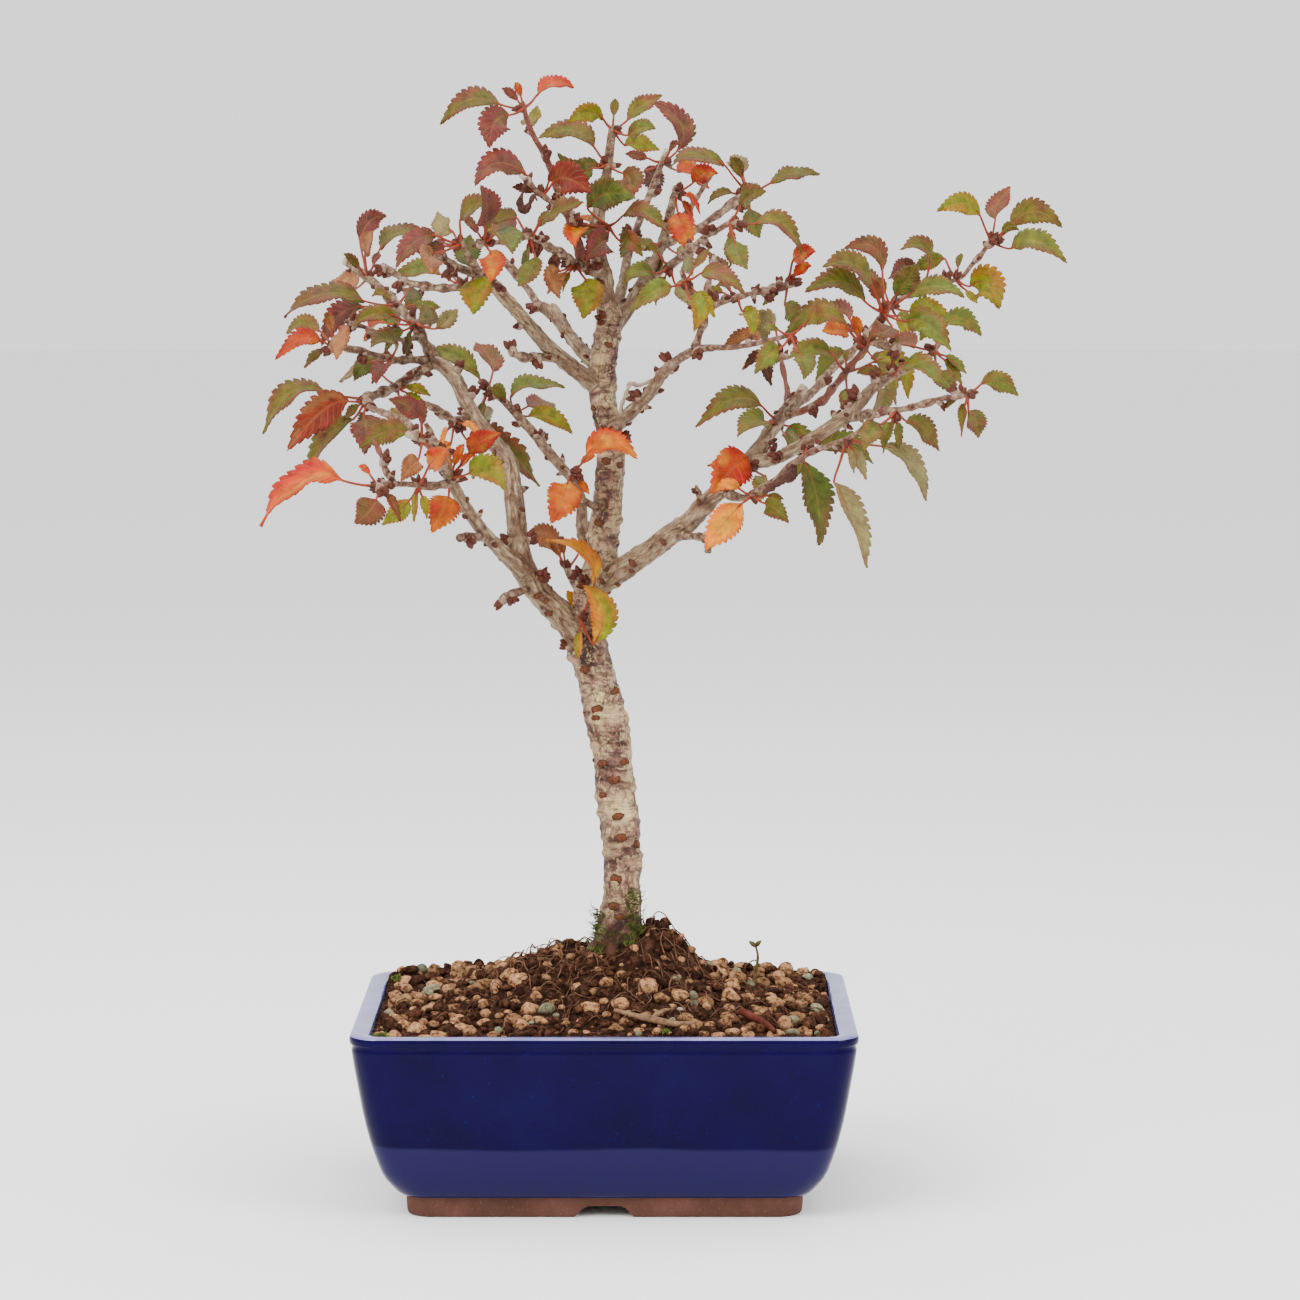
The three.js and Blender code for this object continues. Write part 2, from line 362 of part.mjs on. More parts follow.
  "spray_far_right_low": { "seat": [127.5, 36, 364.8], "leaves": [
    [130, 375, 127, 382, 118, 381, 7, -18, "olive"],
    [123, 372, 119, 373, 113, 369, 8, 20, "coral"],
    [130, 357, 130, 352, 126, 344, 9, 16, "green"]] },
  "spray_far_right_mid": { "seat": [140.5, 42.7, 368.8], "leaves": [
    [136, 377, 130, 376, 123, 372, 7, 10, "green"],
    [146, 366, 153, 367, 158, 357, 15, -14, "lime"]] },
  "spray_far_right_tip": { "seat": [154.5, 51.7, 384], "leaves": [
    [150, 394, 143, 399, 132.5, 396, 9, -10, "lime"],
    [162, 389, 171, 396, 183, 389.5, 11, 4, "olive"],
    [162, 381, 172, 384, 185, 375.5, 9, -14, "green"],
    [156, 393, 157, 399, 162, 406, 8, 18, "bronze"]] },
  "spray_low_left_tip": { "seat": [-95.8, 6.2, 320.9], "leaves": [
    [-113, 324, -127, 323, -138, 307, 8, 8, "olive"],
    [-103, 320, -114, 316, -128, 300, 14, -8, "crimson"],
    [-101, 313, -112, 305, -121.5, 289, 8, 12, "olive"],
    [-97, 314, -96, 309, -97, 299, 13, -16, "plum"]] },
  "spray_low_left_mid": { "seat": [-83.5, 18.5, 326.3], "leaves": [
    [-90, 331, -98, 333, -107, 328, 7, 30, "green"],
    [-82, 318, -82, 314, -84, 306, 9, 20, "lime"]] },
  "spray_low_left_coral": { "seat": [-90.5, -61, 286], "leaves": [
    [-105, 288, -122, 289, -139.5, 270, 9, -6, "coral"],
    [-92, 281, -95, 276, -101, 271, 12, -14, "bronze"]] },
  "spray_low_left_lime": { "seat": [-75, -49.5, 286.2], "leaves": [
    [-79, 280, -83, 276, -90, 270, 8, 10, "lime"],
    [-71, 294, -68, 297, -63, 301, 8, -18, "orange"]] },
  "spray_low_left_cut": { "seat": [-73.5, -47.3, 304.3], "leaves": [
    [-75, 297, -78, 294, -82, 288, 8, -16, "coral"],
    [-79, 307, -88, 308, -99, 301, 10, 10, "olive"],
    [-74, 313, -79, 318, -87, 321, 8, -14, "plum"]] },
  "spray_low_left_flame": { "seat": [-62.5, -37, 289.5], "leaves": [
    [-63, 282, -65, 277, -70, 267, 13, -2, "orange"],
    [-55, 299, -50, 304, -42, 307, 9, -14, "coral"],
    [-55, 291, -48, 293, -40, 284, 10, -22, "lime"]] },
  "spray_inner_left": { "seat": [-60.5, 13.3, 312.6], "leaves": [
    [-55, 304, -42, 302, -26, 286, 10, 22, "olive"],
    [-62, 303, -66, 300, -71, 292, 9, 12, "yellow"]] },
  "spray_knotty": { "seat": [-13.5, -10, 291.5], "leaves": [
    [-15, 288, -17, 281, -22, 271, 14, -14, "orange"],
    [-8, 297, 1, 304, 13, 297, 9, -8, "orange"]] },
  "spray_trunk_front": { "seat": [-10, -4.5, 232], "leaves": [
    [-5, 222, -1, 235, -9, 246, 11, -6, "yellow"],
    [-4.5, 246, -8, 258, -24, 265, 5, -8, "coral"]] },
  "spray_trunk_fork": { "seat": [-15.4, 13.2, 252.5], "leaves": [
    [-19, 259, -24, 266, -31, 267, 10, 10, "yellow"],
    [-10, 260, -8, 267, -11, 276, 7, 26, "coral"]] },
};

const FRONT = new THREE.Vector3(0, -1, 0);

// The real place of a point that the eye sees at x and z, and that lies depth back.
function seen(x, depth, z) {
  const y = depth * CROWN_DEPTH;
  const spread = (y - EYE.y) / -EYE.y;
  return new THREE.Vector3(EYE.x + (x - EYE.x) * spread, y, EYE.z + (z - EYE.z) * spread);
}

// A seeded draw between 0 and 1.
function drawFrom(seed) {
  let state = seed;
  return () => {
    state = (state * 1664525 + 1013904223) % 4294967296;
    return state / 4294967296;
  };
}

function solidOf(points, triangles) {
  const vertProperties = new Float32Array(points.flatMap((point) => [point.x, point.y, point.z]));
  return new wasm.Manifold(
    new wasm.Mesh({ numProp: 3, vertProperties, triVerts: new Uint32Array(triangles.flat()) })
  );
}

function solidOfGeometry(geometry) {
  const bare = new THREE.BufferGeometry().setAttribute("position", geometry.getAttribute("position"));
  bare.setIndex(geometry.getIndex());
  const merged = mergeVertices(bare, 1e-4);
  return new wasm.Manifold(
    new wasm.Mesh({
      numProp: 3,
      vertProperties: merged.getAttribute("position").array,
      triVerts: new Uint32Array(merged.getIndex().array),
    })
  );
}

// A closed skin over rings of equal length, from the first ring to the last.
function skinOf(rings) {
  const count = rings[0].length;
  const points = rings.flat();
  const triangles = [];
  for (let ring = 0; ring + 1 < rings.length; ring += 1) {
    for (let side = 0; side < count; side += 1) {
      const next = (side + 1) % count;
      const here = ring * count;
      const there = here + count;
      triangles.push([here + side, here + next, there + next]);
      triangles.push([here + side, there + next, there + side]);
    }
  }
  const last = (rings.length - 1) * count;
  for (let side = 1; side + 1 < count; side += 1) {
    triangles.push([0, side + 1, side]);
    triangles.push([last, last + side, last + side + 1]);
  }
  return solidOf(points, triangles);
}

// A tube along points, with a radius at each of them.
function tubeOf(points, radii, sides) {
  let across = new THREE.Vector3(1, 0.3, 0);
  const rings = points.map((point, index) => {
    const before = points[Math.max(index - 1, 0)];
    const after = points[Math.min(index + 1, points.length - 1)];
    const along = after.clone().sub(before).normalize();
    across = across.clone().addScaledVector(along, -across.dot(along)).normalize();
    const third = along.clone().cross(across);
    return Array.from({ length: sides }, (_, side) => {
      const angle = (side / sides) * Math.PI * 2;
      return point
        .clone()
        .addScaledVector(across, Math.cos(angle) * radii[index])
        .addScaledVector(third, Math.sin(angle) * radii[index]);
    });
  });
  return skinOf(rings);
}

function stemOf(rows, grow) {
  const points = rows.map(([x, depth, z]) => seen(x, depth, z));
  const thick = rows[0][3];
  const thinner = thick > STOUT_STEM ? 5 : 3;
  const sides = thick > THICK_STEM ? 7 : thinner;
  const fullness = sides === 3 ? TWIG_FULLNESS : 1;
  const radii = rows.map((row) => row[3] * fullness + grow / Math.cos(Math.PI / sides));
  return tubeOf(points, radii, sides);
}

// The wood of the stems whose names pass a test, grown by some clearance.
function woodOf(grow, belongs = () => true) {
  const stems = Object.entries(STEMS).filter(([name]) => belongs(name));
  return wasm.Manifold.union(stems.map(([, rows]) => stemOf(rows, grow)));
}

// Teeth along one edge of a leaf: how far along, and how far out of half the width.
const EDGE = [[0.24, 0.88], [0.33, 0.74], [0.5, 1.04], [0.6, 0.8], [0.74, 0.68], [0.83, 0.34]];

// Fills the strip between two rails, each of [point, how far along], that end in one point.
function fillStrip(triangles, railA, railB, end) {
  let a = 0;
  let b = 0;
  while (a < railA.length - 1 || b < railB.length - 1) {
    const nextA = a < railA.length - 1 ? railA[a + 1][1] : Infinity;
    const nextB = b < railB.length - 1 ? railB[b + 1][1] : Infinity;
    if (nextA <= nextB) {
      triangles.push([railA[a][0], railB[b][0], railA[a + 1][0]]);
      a += 1;
    } else {
      triangles.push([railA[a][0], railB[b][0], railB[b + 1][0]]);
      b += 1;
    }
  }
  triangles.push([railA[a][0], railB[b][0], end]);
}

// A leaf in one skin: its stalk from the seat, and an arched, folded blade with a toothed edge.
function leafSkin(seat, foot, middle, tip, seenWidth) {
  const bend = middle.clone().multiplyScalar(2).addScaledVector(foot, -0.5).addScaledVector(tip, -0.5);
  const curve = new THREE.QuadraticBezierCurve3(foot, bend, tip);
  const length = curve.getLength();
  const half = Math.max(seenWidth, length * LEAF_SLIMNESS) / 2;
  // A blade that is seen narrow is turned on its own length, so that its upper face looks up.
  const turn = Math.acos(Math.min(seenWidth / (half * 2), 1));
  const swing = tip.x < foot.x ? turn : -turn;
  const points = [];
  const place = (origin, axis, out, lift) => {
    const flat = new THREE.Vector3().crossVectors(axis, FRONT).normalize();
    const normal = new THREE.Vector3().crossVectors(flat, axis).normalize().applyAxisAngle(axis, swing);
    const sideways = new THREE.Vector3().crossVectors(axis, normal);
    const rise = Math.abs(out) * BLADE_FOLD + lift;
    points.push(origin.clone().addScaledVector(sideways, out).addScaledVector(normal, rise));
    return points.length - 1;
  };
  const onBlade = (along, out, lift) =>
    [place(curve.getPoint(along), curve.getTangent(along), out * half, lift), along];
  const start = curve.getTangent(0);
  const stalkWay = foot.clone().sub(seat).normalize();
  const collar = [[-1, 0], [0, 1], [1, 0], [0, -1]].map(([out, lift]) => [
    place(seat, stalkWay, out * STALK_RADIUS * STALK_FLARE, lift * STALK_RADIUS * STALK_FLARE),
    place(foot, start, out * STALK_RADIUS, lift * STALK_RADIUS),
  ]);
  const end = onBlade(1, 0, 0)[0];
  const edges = [-1, 1].map((side) => EDGE.map(([along, out]) => onBlade(along, side * out, 0)));
  const ribs = [1, -1].map((face) => RIB_PLACES.map((along) => onBlade(along, 0, face * BLADE_THICKNESS)));
  const rails = [edges[0], ribs[0], edges[1], ribs[1]].map((rail, index) => [[collar[index][1], 0], ...rail]);
  const triangles = [];
  rails.forEach((rail, index) => {
    const next = (index + 1) % rails.length;
    fillStrip(triangles, rail, rails[next], end);
    triangles.push([collar[index][0], collar[next][1], collar[index][1]]);
    triangles.push([collar[index][0], collar[next][0], collar[next][1]]);
  });
  triangles.push([collar[0][0], collar[2][0], collar[1][0]]);
  triangles.push([collar[0][0], collar[3][0], collar[2][0]]);
  return solidOf(points, triangles);
}

function leafOf(seat, row) {
  const [footX, footZ, middleX, middleZ, tipX, tipZ, width, lean] = row;
  const [seatX, seatDepth, seatZ] = seat;
  const foot = seen(footX, seatDepth + lean * FOOT_LEAN, footZ);
  const middle = seen(middleX, seatDepth + lean * MIDDLE_LEAN, middleZ);
  const tip = seen(tipX, seatDepth + lean, tipZ);
  return leafSkin(seen(seatX, seatDepth, seatZ), foot, middle, tip, width);
}

// How far the wood reaches past a place on or in it.
function woodPast(place) {
  let nearest = Infinity;
  let past = 0;
  Object.values(STEMS).forEach((rows) => {
    rows.slice(1).forEach((row, index) => {
      const before = rows[index];
      const line = new THREE.Line3(seen(...before.slice(0, 3)), seen(...row.slice(0, 3)));
      const share = line.closestPointToPointParameter(place, true);
      const distance = line.at(share, new THREE.Vector3()).distanceTo(place);
      if (distance < nearest) {
        nearest = distance;
        past = THREE.MathUtils.lerp(before[3], row[3], share) - Math.max(distance - SEAT_SLACK, 0);
      }
    });
  });
  return past;
}

// The knot of a spray: a pointed lump of buds round the twig.
function knotOf(seat, draw) {
  const middle = seen(...seat);
  const radius = Math.max(woodPast(middle) + KNOT_MARGIN, LEAST_KNOT) * KNOT_POINT;
  const lump = new THREE.OctahedronGeometry(radius, 0);
  lump.rotateX(draw());
  lump.rotateZ(draw() * KNOT_TURN);
  lump.translate(middle.x, middle.y, middle.z);
  return solidOfGeometry(lump);
}

// A ring of points round a rectangle with rounded corners.
function roundedRing(halfX, halfY, radius, z) {
  const ring = [];
  const corners = [[1, 1, 0], [-1, 1, 1], [-1, -1, 2], [1, -1, 3]];
  corners.forEach(([signX, signY, quarter]) => {
    for (let step = 0; step <= CORNER_STEPS; step += 1) {
      const angle = (quarter + step / CORNER_STEPS) * Math.PI / 2;
      ring.push(
        new THREE.Vector3(
          signX * (halfX - radius) + Math.cos(angle) * radius,
          signY * (halfY - radius) + Math.sin(angle) * radius,
          z
        )
      );
    }
  });
  return ring;
}

// One level of the pot's side, by how far it stands in from the rim on the long sides.
function potRing(inset, z, radius) {
  return roundedRing(POT_WIDTH / 2 - inset, POT_DEPTH / 2 - inset * SHORT_SIDE_INSET, radius, z);
}

function discOf(radius, height, x, y, z) {
  const disc = new THREE.CylinderGeometry(radius, radius, height, 12);
  disc.rotateX(Math.PI / 2);
  disc.translate(x, y, z);
  return solidOfGeometry(disc);
}

function pot() {
  const outside = [[FOOT_INSET + 0.9, 0, 9], [FOOT_INSET, 1, 10], [FOOT_INSET - 0.4, FOOT_HEIGHT, 10],
    [18.6, 8.4, 11], [15.6, 11.5, 12], [12.4, 16, 12], [10, 22, 12], [7.4, 30, 12], [3.6, 50, 12],
    [0.7, 69, 12], [1.5, 70, 12], [0, 71.4, 12], [0, 74, 12], [1, POT_HEIGHT, 11.4]];
  const inside = [[RIM_WIDTH - 1, POT_HEIGHT, 6.5], [RIM_WIDTH, 74, 6], [RIM_WIDTH + 2, 50, 6],
    [RIM_WIDTH + 6.5, 26, 6], [RIM_WIDTH + 14, 15, 6], [RIM_WIDTH + 17, FLOOR_TOP, 6]];
  const underside = [[FOOT_INSET + FOOT_RING, UNDERSIDE_HEIGHT, 6], [FOOT_INSET + FOOT_RING - 0.6, 0, 6]];
  const rings = [...underside, ...outside, ...inside].map(([inset, z, radius]) => potRing(inset, z, radius));
  const body = skinOf(rings);
  const notchShape = new THREE.Shape();
  notchShape.moveTo(-NOTCH_WIDTH / 2, -1);
  notchShape.lineTo(-NOTCH_WIDTH / 2, 0);
  notchShape.quadraticCurveTo(-NOTCH_TOP_WIDTH / 2 - 1, 0.6, -NOTCH_TOP_WIDTH / 2, NOTCH_HEIGHT);
  notchShape.lineTo(NOTCH_TOP_WIDTH / 2, NOTCH_HEIGHT);
  notchShape.quadraticCurveTo(NOTCH_TOP_WIDTH / 2 + 1, 0.6, NOTCH_WIDTH / 2, 0);
  notchShape.lineTo(NOTCH_WIDTH / 2, -1);
  const notch = new THREE.ExtrudeGeometry(notchShape, {
    depth: POT_DEPTH + 20, bevelEnabled: false, curveSegments: 4,
  });
  notch.rotateX(Math.PI / 2);
  notch.translate(0, POT_DEPTH / 2 + 10, 0);
  const drains = [-1, 1].map((side) => discOf(DRAIN_RADIUS, FLOOR_TOP * 3, side * DRAIN_OFFSET, 0, 8));
  return body.subtract(solidOfGeometry(notch)).subtract(wasm.Manifold.union(drains));
}

// The top of the soil: a low dome, a mound round the trunk and a lump at its right.
function soilHeight(x, y) {
  const dome = 3 * (1 - (x / 92) ** 2) * (1 - (y / 68) ** 2);
  const mound = MOUND_HEIGHT * Math.exp(-((x / 60) ** 2) - (y / 50) ** 2);
  const lump = LUMP_HEIGHT * Math.exp(-((x - 21) ** 2 + (y + 1) ** 2) / 250);
  const crumbs = 0.9 * Math.sin(x * 0.31 + 1) * Math.cos(y * 0.27) + 0.6 * Math.sin(x * 0.83 + y * 0.61);
  return SOIL_EDGE + dome + mound + lump + crumbs;
}

function soil() {
  const wall = RIM_WIDTH + GAP;
  const below = [[wall + 17.3, FLOOR_TOP + GAP], [wall + 14.1, 15.2], [wall + 6.6, 26], [wall + 2.1, 50]];
  const rings = below.map(([inset, z]) => potRing(inset, z, 6));
  const shares = [0, 0.08, 0.2, 0.33, 0.46, 0.59, 0.72, 0.85, 0.95];
  shares.forEach((share) => {
    const halfX = (POT_WIDTH / 2 - wall - 0.3) * (1 - share);
    const halfY = (POT_DEPTH / 2 - wall - 0.1) * (1 - share);
    const ring = roundedRing(halfX, halfY, 6 * (1 - share), 0);
    ring.forEach((point) => {
      point.z = share === 0 ? SOIL_EDGE : soilHeight(point.x, point.y);
    });
    rings.push(ring);
  });
  const draw = drawFrom(41);
  const grains = Array.from({ length: GRAIN_COUNT }, () => {
    const x = (draw() * 2 - 1) * 82;
    const y = (draw() * 2 - 1) * 57;
    const size = 2.6 + draw() * 2.6;
    const grain = new THREE.IcosahedronGeometry(size, 0);
    grain.scale(1.25, 1, 0.85);
    grain.rotateZ(draw() * Math.PI);
    grain.translate(x, y, soilHeight(x, y) + size * 0.1);
    return solidOfGeometry(grain);
  });
  return wasm.Manifold.union([skinOf(rings), ...grains]).subtract(woodOf(SEAT_GAP));
}

// One spray, held just clear of the wood that it grows on.
function spray(row, seed, grownWood) {
  const draw = drawFrom(seed);
  const parts = [knotOf(row.seat, draw), ...row.leaves.map((leaf) => leafOf(row.seat, leaf))];
  return wasm.Manifold.union(parts).subtract(grownWood);
}

const root = new THREE.Group();

function addNode(name, solid, tint, fineness) {
  const scraps = solid.simplify(fineness).decompose().sort((a, b) => b.volume() - a.volume());
  const mesh = scraps[0].getMesh();
  const geometry = new THREE.BufferGeometry();
  geometry.setAttribute("position", new THREE.BufferAttribute(new Float32Array(mesh.vertProperties), 3));
  geometry.setIndex(new THREE.BufferAttribute(new Uint32Array(mesh.triVerts), 1));
  const roughness = ROUGHNESS[tint] ?? LEAF_ROUGHNESS;
  const material = new THREE.MeshStandardMaterial({ color: TINTS[tint], roughness, metalness: 0 });
  const node = new THREE.Mesh(geometry, material);
  node.name = name;
  root.add(node);
}

addNode("pot", pot(), "glaze", 0);
addNode("soil", soil(), "soil", FINENESS);
const ofLeftLimb = (name) => name.startsWith("left_");
const ofRightLimb = (name) => name.startsWith("right_");
const ofTrunk = (name) => !ofLeftLimb(name) && !ofRightLimb(name);
const grownTrunk = woodOf(SEAT_GAP, ofTrunk);
addNode("trunk", woodOf(0, ofTrunk), "bark", FINENESS);
addNode("left_limb", woodOf(0, ofLeftLimb).subtract(grownTrunk), "bark", FINENESS);
addNode("right_limb", woodOf(0, ofRightLimb).subtract(grownTrunk), "bark", FINENESS);
const grownWood = woodOf(SEAT_GAP).simplify(LEAF_FINENESS);
Object.entries(SPRAYS).forEach(([name, row], index) => {
  addNode(name, spray(row, index + 1, grownWood), row.leaves[0][8], LEAF_FINENESS);
});

// The group moves so that the middle of its outline stands over the origin.
const outline = new THREE.Box3().setFromObject(root);
const centre = outline.getCenter(new THREE.Vector3());
root.children.forEach((node) => node.geometry.translate(-centre.x, -centre.y, -outline.min.z));

export default root;
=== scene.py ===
# A fuji cherry bonsai in a glazed pot, in autumn leaf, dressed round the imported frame. Metres, +Z up.
import contextlib
import math
import random

import bmesh
import bpy
from mathutils import Matrix, Vector, kdtree, noise


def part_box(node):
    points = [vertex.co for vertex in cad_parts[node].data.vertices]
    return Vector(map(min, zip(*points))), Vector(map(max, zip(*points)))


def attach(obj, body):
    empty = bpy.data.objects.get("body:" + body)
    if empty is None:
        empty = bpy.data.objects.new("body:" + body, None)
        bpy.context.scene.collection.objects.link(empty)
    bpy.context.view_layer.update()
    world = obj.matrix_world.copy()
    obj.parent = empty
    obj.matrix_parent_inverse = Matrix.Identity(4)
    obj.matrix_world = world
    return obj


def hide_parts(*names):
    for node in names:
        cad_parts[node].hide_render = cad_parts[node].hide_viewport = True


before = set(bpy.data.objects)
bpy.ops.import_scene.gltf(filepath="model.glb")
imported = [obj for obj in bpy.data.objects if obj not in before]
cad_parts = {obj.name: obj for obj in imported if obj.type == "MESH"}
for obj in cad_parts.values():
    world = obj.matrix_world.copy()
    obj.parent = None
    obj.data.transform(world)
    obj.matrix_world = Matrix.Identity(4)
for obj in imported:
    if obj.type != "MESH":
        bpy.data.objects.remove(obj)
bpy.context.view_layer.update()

MM = 0.001
SEED = 7

# Pot sizes, in millimetres
POT_WIDTH = 200
POT_DEPTH = 150
RIM_WIDTH = 8
SOIL_EDGE = 71.5
# How far the trunk stands to the right of the pot's middle.
TRUNK_X = 5.5
# A painted reflection of the white floor makes the glaze paler below this height, in metres.
FLOOR_REFLECTION_TOP = 0.0325

# The tree is drawn as it looks from the front, by an eye here. A point further back is spread
# away from the eye's own height and side, so that it keeps its place in that view.
EYE = Vector((18, -1660, 388))
EYE_PITCH = 5.79
EYE_LENS = 114.4
CROWN_DEPTH = 1.4
FRONT = Vector((0, -1, 0))
# Where the first side of a swept shape points, before it is squared to the path.
FIRST_ACROSS = Vector((1, 0.3, 0.1))

pot_low, pot_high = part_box("pot")
POT_CENTRE = Vector(((pot_low[0] + pot_high[0]) / 2, (pot_low[1] + pot_high[1]) / 2, 0))

